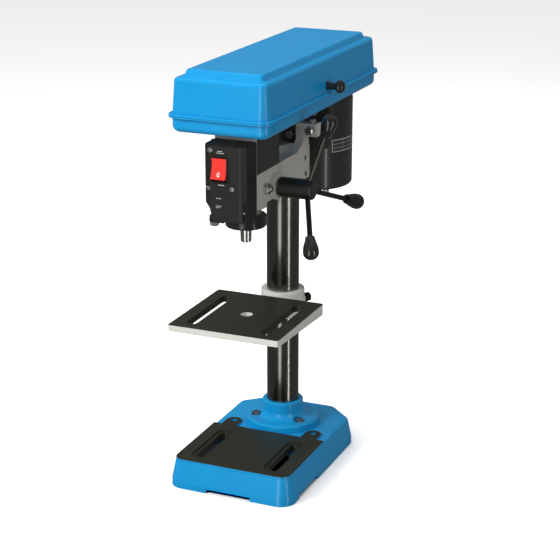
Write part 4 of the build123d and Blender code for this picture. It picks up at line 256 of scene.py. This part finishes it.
def enamel(
    name, colour, deep, bare, machined_above=None, dark_blocks=(), orange_peel=0.035, wear=0.5
):
    """Gloss enamel over iron or sheet: uneven film, rubbed edges, dust, and if asked machined faces and
    dark blocks in a near-black iron colour that is partly a painted dark reflection.
    """
    made, tree, shader = new_material(name, IOR=1.5, Specular_IOR_Level=0.4, Coat_Roughness=0.08)
    film = place_group(tree, GRAIN, Scale=420.0, Detail=2.0)
    edges = place_group(tree, EDGE_WEAR, Radius=0.0007, Amount=wear, Scale=70.0)
    dust = place_group(tree, DUST, Amount=0.035, Scale=120.0)
    tint = mix_colour(tree, film.outputs["Broad"], deep, colour)
    worn = mix_colour(tree, edges.outputs["Mask"], tint, bare)
    dusty = mix_colour(tree, dust.outputs["Mask"], worn, DUST_COLOUR)
    rough = mix_value(tree, film.outputs["Broad"], 0.30, 0.40)
    rough = mix_value(tree, dust.outputs["Mask"], rough, 0.7)
    metal = mix_value(tree, edges.outputs["Mask"], 0.0, 0.7)
    coat = mix_value(tree, edges.outputs["Mask"], 0.35, 0.0)
    if machined_above is not None:
        cut = height_mask(tree, machined_above, 0.0002)
        # each given block takes the same dark iron colour as the machined top, through the whole depth of
        # the piece
        for across, along in dark_blocks:
            cut = larger(tree, cut, block_mask(tree, across, along))
        marks = place_group(tree, GRAIN, Scale=900.0, Along_X=0.06, Detail=5.0)
        # machined colour: partly the oiled iron's own, partly a painted dark reflection
        iron = mix_colour(tree, marks.outputs["Fine"], MACHINED_DARK_AND_PAINTED_REFLECTION, MACHINED_LIGHT_AND_PAINTED_REFLECTION)
        dusty = mix_colour(tree, cut, dusty, iron)
        rough = mix_value(tree, cut, rough, mix_value(tree, marks.outputs["Fine"], 0.34, 0.52))
        metal = mix_value(tree, cut, metal, 0.35)
        coat = mix_value(tree, cut, coat, 0.0)
    link(tree, dusty, shader.inputs["Base Color"])
    link(tree, rough, shader.inputs["Roughness"])
    link(tree, metal, shader.inputs["Metallic"])
    link(tree, coat, shader.inputs["Coat Weight"])
    add_bump(tree, shader, film.outputs["Fine"], edges.outputs["Normal"], orange_peel, 0.0004)
    return made


SHADE_ANGLE = math.radians(32)
WELD_GAP = 0.000002


def dress(material, *names):
    """Gives CAD nodes a material, and shades their curved faces smooth."""
    for name in names:
        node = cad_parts[name]
        for slot in node.material_slots:
            slot.material = material
        node.data.polygons.foreach_set("use_smooth", [True] * len(node.data.polygons))
        weld = node.modifiers.new("weld", "WELD")
        weld.merge_threshold = WELD_GAP
        split = node.modifiers.new("split", "EDGE_SPLIT")
        split.split_angle = SHADE_ANGLE
        normals = node.modifiers.new("normals", "WEIGHTED_NORMAL")
        normals.keep_sharp = True
        normals.weight = 100


PAD_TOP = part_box("base")[1].z
PAD_CUT = 0.0006
# each base slot and a band round it take the pad's dark iron colour through the whole depth
BASE_SLOT_DARK_BLOCK = ((0.054, 0.0128), (-0.123, 0.0512))
blue_casting = enamel(
    "blue_casting", BLUE, BLUE_DEEP, BLUE_RUBBED,
    machined_above=PAD_TOP - PAD_CUT, dark_blocks=[BASE_SLOT_DARK_BLOCK], orange_peel=0.04,
)
dress(blue_casting, "base")

# ----------------------------------------------------- column flange, bolts
# The column stands in a cast flange in the same blue enamel, held to the base by
# zinc-plated hexagon bolts, each on a plain washer in a spot-faced seat.
ZINC = (0.60, 0.60, 0.57)
ZINC_DARK = (0.36, 0.36, 0.33)
BRIGHT_EDGE = (0.8, 0.79, 0.76)

blue_flange = enamel("blue_flange", BLUE, BLUE_DEEP, BLUE_RUBBED, orange_peel=0.04)
dress(blue_flange, "column_flange")


def plated(name, light, dark, roughness=0.3, metallic=1.0, wear=0.3):
    """Plated or oiled steel: mottled plating with finer scuffs and bright edges."""
    made, tree, shader = new_material(name, IOR=1.5)
    scuff = place_group(tree, GRAIN, Scale=700.0, Detail=6.0)
    edges = place_group(tree, EDGE_WEAR, Radius=0.0003, Amount=wear, Scale=200.0)
    tint = mix_colour(tree, scuff.outputs["Fine"], dark, light)
    bright = mix_colour(tree, edges.outputs["Mask"], tint, BRIGHT_EDGE)
    rough = mix_value(tree, scuff.outputs["Fine"], roughness + 0.14, roughness)
    shader.inputs["Metallic"].default_value = metallic
    link(tree, bright, shader.inputs["Base Color"])
    link(tree, rough, shader.inputs["Roughness"])
    add_bump(tree, shader, scuff.outputs["Fine"], edges.outputs["Normal"], 0.05, 0.0002)
    return made


zinc = plated("zinc", ZINC, ZINC_DARK)
dress(zinc, "flange_bolts")


def add_piece(name, mesh, body, material):
    """New piece from a bmesh, shaded smooth between sharp edges, riding on its body."""
    for face in mesh.faces:
        face.smooth = True
    for edge in mesh.edges:
        edge.smooth = len(edge.link_faces) == 2 and edge.calc_face_angle(0.0) < SHADE_ANGLE
    data = bpy.data.meshes.new(name)
    mesh.to_mesh(data)
    mesh.free()
    piece = bpy.data.objects.new(name, data)
    bpy.context.scene.collection.objects.link(piece)
    data.materials.append(material)
    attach(piece, body)
    return piece


def turned(mesh, profile, centre, along=(0, 0, 1), steps=48, closed=True):
    """Adds a turned shape to a mesh: profile points are (radius, height) on an axis from centre."""
    points = [mesh.verts.new((radius, 0, height)) for radius, height in profile]
    pairs = list(zip(points, points[1:])) + ([(points[-1], points[0])] if closed else [])
    edges = [mesh.edges.new(pair) for pair in pairs]
    made = bmesh.ops.spin(
        mesh, geom=points + edges, axis=(0, 0, 1), cent=(0, 0, 0),
        angle=2 * math.pi, steps=steps, use_merge=True,
    )
    fresh = {vert for edge in edges for vert in edge.verts}
    fresh |= {item for item in made["geom_last"] if isinstance(item, bmesh.types.BMVert)}
    grown = set(fresh)
    while fresh:
        fresh = {edge.other_vert(vert) for vert in fresh for edge in vert.link_edges} - grown
        grown |= fresh
    turn = Vector((0, 0, 1)).rotation_difference(Vector(along)).to_matrix().to_4x4()
    bmesh.ops.transform(mesh, matrix=Matrix.Translation(centre) @ turn, verts=list(grown))
    return mesh


def close_up(mesh):
    """Merges the seams and poles of a mesh and turns its faces outwards."""
    bmesh.ops.remove_doubles(mesh, verts=mesh.verts, dist=0.000001)
    bmesh.ops.recalc_face_normals(mesh, faces=mesh.faces)
    return mesh


FLANGE_THICK = 0.011
FLANGE_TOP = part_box("column_flange")[0].z + FLANGE_THICK
FLANGE_CIRCLE = 0.039
WASHER_BORE = 0.0052
WASHER_R = 0.0074
WASHER_THICK = 0.0012
WASHER_LAND = (0.0069, 0.0009)
WASHER_PROFILE = [
    (WASHER_BORE, 0.0), (WASHER_R, 0.0), (WASHER_R, WASHER_LAND[1]),
    (WASHER_LAND[0], WASHER_THICK), (WASHER_BORE, WASHER_THICK),
]
washers = bmesh.new()
for turn in (-30, 90, 210):
    seat = Vector((FLANGE_CIRCLE, 0, FLANGE_TOP)) @ Matrix.Rotation(-math.radians(turn), 3, "Z")
    turned(washers, WASHER_PROFILE, seat)
add_piece("flange_washers", close_up(washers), "stand", zinc)

# ------------------------------------------------------------------ column
# The column is a drawn steel tube, ground and oiled.  It is dark in reflection,
# with bright streaks along it.
COLUMN_DARK = (0.17, 0.165, 0.15)
COLUMN_LIGHT = (0.27, 0.265, 0.24)
COLUMN_OILY = (0.14, 0.135, 0.12)

ground_column, tree, shader = new_material("ground_column", IOR=1.5, Metallic=1.0, Anisotropic=0.4)
streaks = place_group(tree, GRAIN, Scale=500.0, Along_Z=0.02, Detail=4.0)
edges = place_group(tree, EDGE_WEAR, Radius=0.0005, Amount=0.3, Scale=90.0)
tint = mix_colour(tree, streaks.outputs["Fine"], COLUMN_DARK, COLUMN_LIGHT)
tint = mix_colour(tree, streaks.outputs["Broad"], COLUMN_OILY, tint)
link(tree, tint, shader.inputs["Base Color"])
link(tree, mix_value(tree, streaks.outputs["Fine"], 0.13, 0.24), shader.inputs["Roughness"])
add_bump(tree, shader, streaks.outputs["Fine"], edges.outputs["Normal"], 0.03, 0.0002)
dress(ground_column, "column")

# ----------------------------------------------------- table bracket, clamp
# The bracket is a cast collar in off-white enamel, bored for the column, with a
# boss in front for the tilt bolt and a black-oxide hand screw at the rear right.
OFF_WHITE = (0.66, 0.65, 0.61)
OFF_WHITE_DEEP = (0.55, 0.54, 0.50)
IRON_RUBBED = (0.2, 0.2, 0.19)
OXIDE = (0.035, 0.034, 0.030)
OXIDE_DARK = (0.014, 0.014, 0.012)

white_casting = enamel("white_casting", OFF_WHITE, OFF_WHITE_DEEP, IRON_RUBBED, orange_peel=0.06)
dress(white_casting, "table_bracket")
black_oxide = plated("black_oxide", OXIDE, OXIDE_DARK, roughness=0.36, metallic=0.8)
dress(black_oxide, "table_clamp_screw")
dress(zinc, "table_tilt_bolt", "tilt_washer")

# ------------------------------------------------------------------- table
# The table is an iron casting.  Its sides and ribs are in off-white enamel, and
# its top is planed, oiled and dark, with two clamping slots; the top's near-black colour is partly the
# oiled iron's own and partly a painted dark reflection.
TABLE_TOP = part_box("table")[1].z
TABLE_CUT = 0.0003
# each table slot and a band round it take the top's dark iron colour through the whole depth
TABLE_SLOT_DARK_BLOCK = ((0.054, 0.0079), (-0.128, 0.0624))
TABLE_DEEP = (0.54, 0.53, 0.49)
table_finish = enamel(
    "table_finish", OFF_WHITE, TABLE_DEEP, IRON_RUBBED,
    machined_above=TABLE_TOP - TABLE_CUT, dark_blocks=[TABLE_SLOT_DARK_BLOCK], orange_peel=0.06,
)
dress(table_finish, "table")

# ------------------------------------------------------------ head casting
# The head is one casting in warm light-grey enamel: quill housing, feed bosses,
# column socket, and behind them the two posts that guide the motor's rods.
WARM_GREY = (0.52, 0.50, 0.45)
WARM_GREY_DEEP = (0.40, 0.385, 0.345)

grey_casting = enamel("grey_casting", WARM_GREY, WARM_GREY_DEEP, IRON_RUBBED, orange_peel=0.08)
dress(grey_casting, "head_casting")
dress(black_oxide, "column_set_screws")
dress(zinc, "rod_lock_screws", "guide_screw")

# ------------------------------------------------------------ tower shroud
# The shroud is sheet steel in black enamel, folded round the tower of the head
# and closing its sides and its back.
BLACK = (0.008, 0.008, 0.0065)
BLACK_SOFT = (0.014, 0.014, 0.011)
BLACK_RUBBED = (0.1, 0.1, 0.09)

black_sheet = enamel("black_sheet", BLACK_SOFT, BLACK, BLACK_RUBBED, orange_peel=0.05, wear=0.25)
dress(black_sheet, "tower_shroud")

# ------------------------------------------------- switch cover and switch
# The switch cover is moulded in black plastic with a fine spark texture, held by
# two bright cross-head screws.  The rocker is moulded in glossy red plastic.
RED = (0.78, 0.026, 0.018)
RED_SOFT = (0.86, 0.034, 0.022)


def moulded(name, colour, soft, roughness, texture, coat=0.0):
    """Moulded plastic: spark-eroded texture, slight sheen changes, rubbed edges."""
    made, tree, shader = new_material(name, IOR=1.48, Coat_Roughness=0.1)
    spark = place_group(tree, GRAIN, Scale=1500.0, Detail=3.0)
    edges = place_group(tree, EDGE_WEAR, Radius=0.0006, Amount=0.25, Scale=110.0)
    dust = place_group(tree, DUST, Amount=0.08, Scale=150.0)
    tint = mix_colour(tree, spark.outputs["Broad"], colour, soft)
    worn = mix_colour(tree, edges.outputs["Mask"], tint, [2.2 * part + 0.02 for part in soft])
    link(tree, mix_colour(tree, dust.outputs["Mask"], worn, DUST_COLOUR), shader.inputs["Base Color"])
    rough = mix_value(tree, spark.outputs["Fine"], roughness, roughness + 0.12)
    link(tree, rough, shader.inputs["Roughness"])
    shader.inputs["Coat Weight"].default_value = coat
    add_bump(tree, shader, spark.outputs["Fine"], edges.outputs["Normal"], texture, 0.0002)
    return made


cover_plastic = moulded("cover_plastic", BLACK, BLACK_SOFT, 0.46, 0.10)
gloss_plastic = moulded("gloss_plastic", BLACK, BLACK_SOFT, 0.16, 0.02, coat=0.6)
red_plastic = moulded("red_plastic", RED, RED_SOFT, 0.42, 0.02, coat=0.12)
dress(cover_plastic, "front_cover")
dress(gloss_plastic, "switch_housing")
dress(red_plastic, "switch_rocker")
dress(zinc, "cover_screws")

# The rocker's ring and the short lines beside the switch are thin raised prints in
# white ink, and its dot is black.  The lines stand for wording and say nothing.
INK = (0.80, 0.80, 0.78)
INK_SOFT = (0.70, 0.70, 0.68)
ROCKER_PIVOT = Vector((-0.0065, -0.190, 0.4605))
ROCKER_TILT = math.radians(10)
RING_IN = 0.0011
RING_OUT = 0.0020
RING_THICK = 0.0003
RING_STRETCH = 1.6
RING_PLACE = (0, -0.0075, 0.0052)
RING_LEAN = 0.16
DOT_PROFILE = [(0.0, 0.0), (0.0006, 0.0), (0.0005, 0.0003), (0.0, 0.0004)]
DOT_PLACE = (0, 0.003, 0.0046)

white_ink = moulded("white_ink", INK, INK_SOFT, 0.45, 0.05)
rocker_turn = Matrix.Rotation(-ROCKER_TILT, 4, "X") @ Matrix.Rotation(math.pi / 2, 4, "X")
rocker_frame = Matrix.Translation(ROCKER_PIVOT) @ rocker_turn
ring_frame = Matrix.Translation(RING_PLACE) @ Matrix.Rotation(-RING_LEAN, 4, "X")
ring = bmesh.new()
turned(
    ring,
    [(RING_IN, 0.0), (RING_OUT, 0.0), (RING_OUT, RING_THICK), (RING_IN, RING_THICK)],
    (0, 0, 0),
)
bmesh.ops.scale(ring, vec=(1.0, RING_STRETCH, 1.0), verts=ring.verts)
bmesh.ops.transform(ring, matrix=rocker_frame @ ring_frame, verts=ring.verts)
add_piece("rocker_ring", close_up(ring), "rocker", white_ink)
dot = bmesh.new()
turned(dot, DOT_PROFILE, DOT_PLACE, steps=24, closed=False)
bmesh.ops.transform(dot, matrix=rocker_frame, verts=dot.verts)
add_piece("rocker_dot", close_up(dot), "rocker", gloss_plastic)

COVER_FACE = -0.193
PRINT_THICK = 0.00012
PRINT_WORDS = 4
PRINT_INKED = 0.72
# middle across, height, length and height of stroke of each line
PRINT_LINES = (
    (-0.0055, 0.4842, 0.0075, 0.0010), (-0.0050, 0.4818, 0.0110, 0.0007), (-0.0040, 0.4400, 0.0090, 0.0010),
    (-0.0230, 0.4360, 0.0060, 0.0008), (-0.0215, 0.4335, 0.0040, 0.0007), (-0.0080, 0.4220, 0.0070, 0.0008),
    (-0.0080, 0.4120, 0.0085, 0.0007), (-0.0090, 0.4098, 0.0060, 0.0007),
)
prints = bmesh.new()
for across, up, length, tall in PRINT_LINES:
    dash = length / PRINT_WORDS
    for number in range(PRINT_WORDS):
        middle = across + (number - (PRINT_WORDS - 1) / 2) * dash
        block = bmesh.ops.create_cube(prints, size=1.0)["verts"]
        bmesh.ops.scale(prints, vec=(PRINT_INKED * dash, PRINT_THICK, tall), verts=block)
        bmesh.ops.translate(prints, vec=(middle, COVER_FACE - PRINT_THICK / 2, up), verts=block)
add_piece("cover_prints", close_up(prints), "stand", white_ink)

# -------------------------------------------------- quill, collar, spindle
# The quill is a ground steel tube with its rack cut in the back.  A black clamp
# collar at its foot carries the depth rod, and the spindle ends in a bright taper.
STEEL = (0.66, 0.65, 0.62)
STEEL_DARK = (0.46, 0.45, 0.42)
COLLAR_RUBBED = (0.12, 0.12, 0.11)

bright_steel = plated("bright_steel", STEEL, STEEL_DARK, roughness=0.16)
dress(bright_steel, "quill", "quill_bearings", "spindle")
black_collar = enamel("black_collar", BLACK_SOFT, BLACK, COLLAR_RUBBED, orange_peel=0.05)
dress(black_collar, "quill_collar")
dress(black_oxide, "collar_screw")
dress(zinc, "depth_rod_nut", "stop_nuts")

# The depth rod is threaded above its plain foot.  The thread is turned as separate
# grooves at the thread's pitch, which look the same at this size.
ROD_AXIS = (-0.037, -0.145)
ROD_PITCH = 0.00125
ROD_CREST = 0.0040
ROD_ROOT = 0.0034
ROD_FOOT = 0.017
ROD_END = 0.001
ROD_CHAMFER = 0.0008
rod_low, rod_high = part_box("depth_rod")
thread_top = rod_high.z - ROD_END
thread_low = rod_low.z + ROD_FOOT
rod_points = [(0.0, rod_low.z), (ROD_CREST, rod_low.z), (ROD_CREST, thread_low)]
for turn in range(int((thread_top - thread_low) / ROD_PITCH)):
    level = thread_low + turn * ROD_PITCH
    rod_points += [(ROD_ROOT, level + 0.4 * ROD_PITCH), (ROD_ROOT, level + 0.5 * ROD_PITCH)]
    rod_points += [(ROD_CREST, level + 0.9 * ROD_PITCH), (ROD_CREST, level + ROD_PITCH)]
rod_points += [(ROD_CREST - ROD_CHAMFER, rod_high.z), (0.0, rod_high.z)]
rod = bmesh.new()
turned(rod, rod_points, (*ROD_AXIS, 0), steps=28, closed=False)
threaded_rod = add_piece("threaded_rod", close_up(rod), "quill_unit", zinc)
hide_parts("depth_rod")

# ------------------------------------------------- feed shaft, hub and arms
# The pinion shaft ends in a black hub.  Three dark steel arms screw into it at a
# slant, and each has a glossy black phenolic knob.
ARM_STEEL = (0.13, 0.13, 0.115)
ARM_STEEL_DARK = (0.06, 0.06, 0.05)

dress(bright_steel, "pinion_shaft")
dress(black_collar, "feed_hub")
dark_rod = plated("dark_rod", ARM_STEEL, ARM_STEEL_DARK, roughness=0.22)
dress(dark_rod, "feed_arms")
dress(gloss_plastic, "feed_knobs")

# --------------------------------------------------- return spring and cup
# The return spring is a flat steel coil.  It lies in a pressed, plated cup on the
# left of the head, which two nuts lock on the pinion shaft.
dress(zinc, "spring_cup", "spring_cup_nuts")
dress(dark_rod, "return_spring")

# ------------------------------------------------------ belt tray and lid
# The guard is deep-drawn sheet steel in the same blue: a tray screwed to the head,
# and a lid on two hinges at its left edge, with a black knob on the right.
blue_sheet = enamel("blue_sheet", BLUE, BLUE_DEEP, BLUE_RUBBED, orange_peel=0.012, wear=0.12)
dress(blue_sheet, "belt_tray", "lid")
dress(zinc, "tray_screws", "lid_hinge_leaves", "tray_hinge_leaves", "hinge_pins")
dress(gloss_plastic, "lid_knob")

# ------------------------------------------------------- pulleys and belt
# Two cone pulleys, cast in aluminium and turned bright, carry a rubber V belt on
# their middle steps.  The driven one turns on a steel sleeve with its own bearings.
ALLOY = (0.72, 0.72, 0.72)
ALLOY_DARK = (0.52, 0.52, 0.52)
RUBBER = (0.014, 0.014, 0.013)
RUBBER_SOFT = (0.024, 0.023, 0.021)

cast_alloy = plated("cast_alloy", ALLOY, ALLOY_DARK, roughness=0.3)
dress(cast_alloy, "spindle_pulley", "motor_pulley")
dress(bright_steel, "drive_sleeve", "sleeve_bearings")
dress(black_oxide, "pulley_nut", "pulley_set_screw")
belt_rubber = moulded("belt_rubber", RUBBER, RUBBER_SOFT, 0.6, 0.4)
dress(belt_rubber, "belt")

# ------------------------------------------------------------------- motor
# The motor is a rolled shell between two cast end bells, all in black enamel, on
# a thick plate whose two rods slide in the head.
MOTOR_BLACK = (0.030, 0.030, 0.026)
MOTOR_BLACK_DEEP = (0.018, 0.018, 0.015)

black_motor = enamel("black_motor", MOTOR_BLACK, MOTOR_BLACK_DEEP, BLACK_RUBBED, orange_peel=0.10)
dress(black_motor, "motor_shell", "motor_end_bells", "motor_plate")
dress(zinc, "motor_bolts", "motor_through_bolts")
dress(bright_steel, "slide_rods", "motor_shaft", "motor_bearings")
dress(dark_rod, "motor_rotor", "motor_stator")
dress(cover_plastic, "motor_fan", "cable_gland")

# The rating plate is a thin dark label with a pale border and ruled lines, left
# blank.  It is glued round the shell, so its upright lines are set out by angle.
LABEL_AXIS_Y = 0.110
LABEL_DARK = (0.03, 0.03, 0.027)
LABEL_SOFT = (0.05, 0.05, 0.045)
LABEL_PALE = (0.42, 0.42, 0.40)
label_low, label_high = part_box("rating_plate")
# height and half width of each level line, then angle and half width of each upright
LABEL_LEVELS = (
    (label_low.z, 0.0012), (label_high.z, 0.0012),
    (label_low.z + 0.006, 0.00025), (label_low.z + 0.0115, 0.00025),
)
LABEL_UPRIGHTS = ((-40, 0.02), (4, 0.02), (-20, 0.004))


def label_line(tree, source, middle, half):
    """Mask of one line on the plate, where a coordinate is near a middle value."""
    band = add_node(tree, "ShaderNodeMath", operation="COMPARE", inputs={1: middle, 2: half})
    link(tree, source, band.inputs[0])
    return band.outputs[0]


label_finish, tree, shader = new_material("label_finish", IOR=1.5, Metallic=0.0)
place = add_node(tree, "ShaderNodeTexCoord")
split = add_node(tree, "ShaderNodeSeparateXYZ")
back = add_node(tree, "ShaderNodeMath", operation="SUBTRACT", inputs={1: LABEL_AXIS_Y})
angle = add_node(tree, "ShaderNodeMath", operation="ARCTAN2")
link(tree, place.outputs["Object"], split.inputs[0])
link(tree, split.outputs["Y"], back.inputs[0])
link(tree, back.outputs[0], angle.inputs[0])
link(tree, split.outputs["X"], angle.inputs[1])
lines = [label_line(tree, split.outputs["Z"], level, half) for level, half in LABEL_LEVELS]
lines += [label_line(tree, angle.outputs[0], math.radians(at), half) for at, half in LABEL_UPRIGHTS]
pale = lines[0]
for line in lines[1:]:
    pale = larger(tree, pale, line)
print_grain = place_group(tree, GRAIN, Scale=500.0)
dark = mix_colour(tree, print_grain.outputs["Fine"], LABEL_DARK, LABEL_SOFT)
rough = mix_value(tree, print_grain.outputs["Broad"], 0.30, 0.42)
link(tree, mix_colour(tree, pale, dark, LABEL_PALE), shader.inputs["Base Color"])
link(tree, rough, shader.inputs["Roughness"])
dress(label_finish, "rating_plate")

# ---------------------------------------------------- floor, light, camera
# A plain pale floor lies under a pale room, with soft studio light.  To the camera
# the floor and the room are lifted, and reflections see a darker room and no floor.  Near the machine the
# floor's lift is darkened by ambient occlusion, a painted contact shadow.
FLOOR_HALF = 30
FLOOR_SEEN = (0.92, 0.92, 0.92)
FLOOR_UNSEEN = (0.34, 0.34, 0.34)
FLOOR_LIFT = 0.50
# floor glow where it is fully occluded: a painted contact shadow
FLOOR_PAINTED_SHADOW = -0.25
ROOM_LIGHT = 0.34
ROOM_MIRRORED = 0.13
ROOM_SEEN = 0.86

floor_mesh = bmesh.new()
bmesh.ops.create_grid(floor_mesh, x_segments=1, y_segments=1, size=FLOOR_HALF)
floor_data = bpy.data.meshes.new("floor")
floor_mesh.to_mesh(floor_data)
floor_mesh.free()
floor = bpy.data.objects.new("floor", floor_data)
bpy.context.scene.collection.objects.link(floor)
floor_finish, tree, shader = new_material("floor_finish", Roughness=0.9)
sight = add_node(tree, "ShaderNodeLightPath")
to_camera = sight.outputs["Is Camera Ray"]
# ambient occlusion darkens the floor's glow under and round the machine: a painted contact shadow
shade = add_node(tree, "ShaderNodeAmbientOcclusion", samples=8, inputs={"Distance": 0.10})
lift_with_painted_shadow = mix_value(tree, shade.outputs["AO"], FLOOR_PAINTED_SHADOW, FLOOR_LIFT)
clear = add_node(tree, "ShaderNodeBsdfTransparent")
either = add_node(tree, "ShaderNodeMixShader")
shader.inputs["Emission Color"].default_value = (1, 1, 1, 1)
link(tree, mix_colour(tree, to_camera, FLOOR_UNSEEN, FLOOR_SEEN), shader.inputs["Base Color"])
link(tree, mix_value(tree, to_camera, 0.0, lift_with_painted_shadow), shader.inputs["Emission Strength"])
link(tree, sight.outputs["Is Glossy Ray"], either.inputs[0])
link(tree, shader.outputs[0], either.inputs[1])
link(tree, clear.outputs[0], either.inputs[2])
link(tree, either.outputs[0], tree.nodes["Material Output"].inputs["Surface"])
floor_data.materials.append(floor_finish)

world = bpy.data.worlds.new("studio")
bpy.context.scene.world = world
world.use_nodes = True
tree = world.node_tree
sky = tree.nodes["Background"]
sky.inputs["Color"].default_value = (1.0, 1.0, 1.0, 1)
sight = add_node(tree, "ShaderNodeLightPath")
unseen = mix_value(tree, sight.outputs["Is Glossy Ray"], ROOM_LIGHT, ROOM_MIRRORED)
power = mix_value(tree, sight.outputs["Is Camera Ray"], unseen, ROOM_SEEN)
link(tree, power, sky.inputs["Strength"])

STRIP_HEIGHT = 2.6
AIM = Vector((0, -0.05, 0.3))


def soft_light(name, place, width, height, power, mirrored=True):
    """Soft box at a place, aimed at the machine; a tall strip is aimed level."""
    lamp = bpy.data.lights.new(name, "AREA")
    lamp.shape = "RECTANGLE"
    lamp.size = width
    lamp.size_y = height
    lamp.energy = power
    made = bpy.data.objects.new(name, lamp)
    bpy.context.scene.collection.objects.link(made)
    made.location = place
    aim = Vector((AIM.x, AIM.y, place[2] if height == STRIP_HEIGHT else AIM.z))
    made.rotation_euler = (aim - Vector(place)).to_track_quat("-Z", "Y").to_euler()
    made.visible_camera = False
    made.visible_glossy = mirrored


soft_light("key", (-1.35, -1.9, 1.75), 0.8, 0.9, 60, mirrored=False)
soft_light("top", (-0.2, 0.2, 2.3), 1.2, 1.2, 24, mirrored=False)
soft_light("rear", (0.9, 2.2, 1.4), 0.9, 1.2, 8, mirrored=False)
soft_light("front_strip", (0.02, -1.35, -0.20), 0.44, STRIP_HEIGHT, 9)
soft_light("side_strip", (1.15, -0.53, -0.20), 0.11, STRIP_HEIGHT, 7)
soft_light("glint", (-0.5, -1.6, 2.3), 0.16, 0.16, 3)

CAMERA_AZIMUTH = math.radians(23.08)
CAMERA_ELEVATION = math.radians(18.35)
CAMERA_DISTANCE = 2.2204
CAMERA_TARGET = Vector((-0.0038, -0.0016, 0.254))
CAMERA_LENS = 100.27
CAMERA_SENSOR = 36
towards = Vector((
    -math.sin(CAMERA_AZIMUTH) * math.cos(CAMERA_ELEVATION),
    math.cos(CAMERA_AZIMUTH) * math.cos(CAMERA_ELEVATION),
    -math.sin(CAMERA_ELEVATION),
))
camera_data = bpy.data.cameras.new("camera")
camera_data.lens = CAMERA_LENS
camera_data.sensor_width = CAMERA_SENSOR
camera = bpy.data.objects.new("camera", camera_data)
bpy.context.scene.collection.objects.link(camera)
camera.location = CAMERA_TARGET - CAMERA_DISTANCE * towards
camera.rotation_euler = towards.to_track_quat("-Z", "Y").to_euler()
bpy.context.scene.camera = camera
bpy.context.scene.view_settings.view_transform = "Standard"
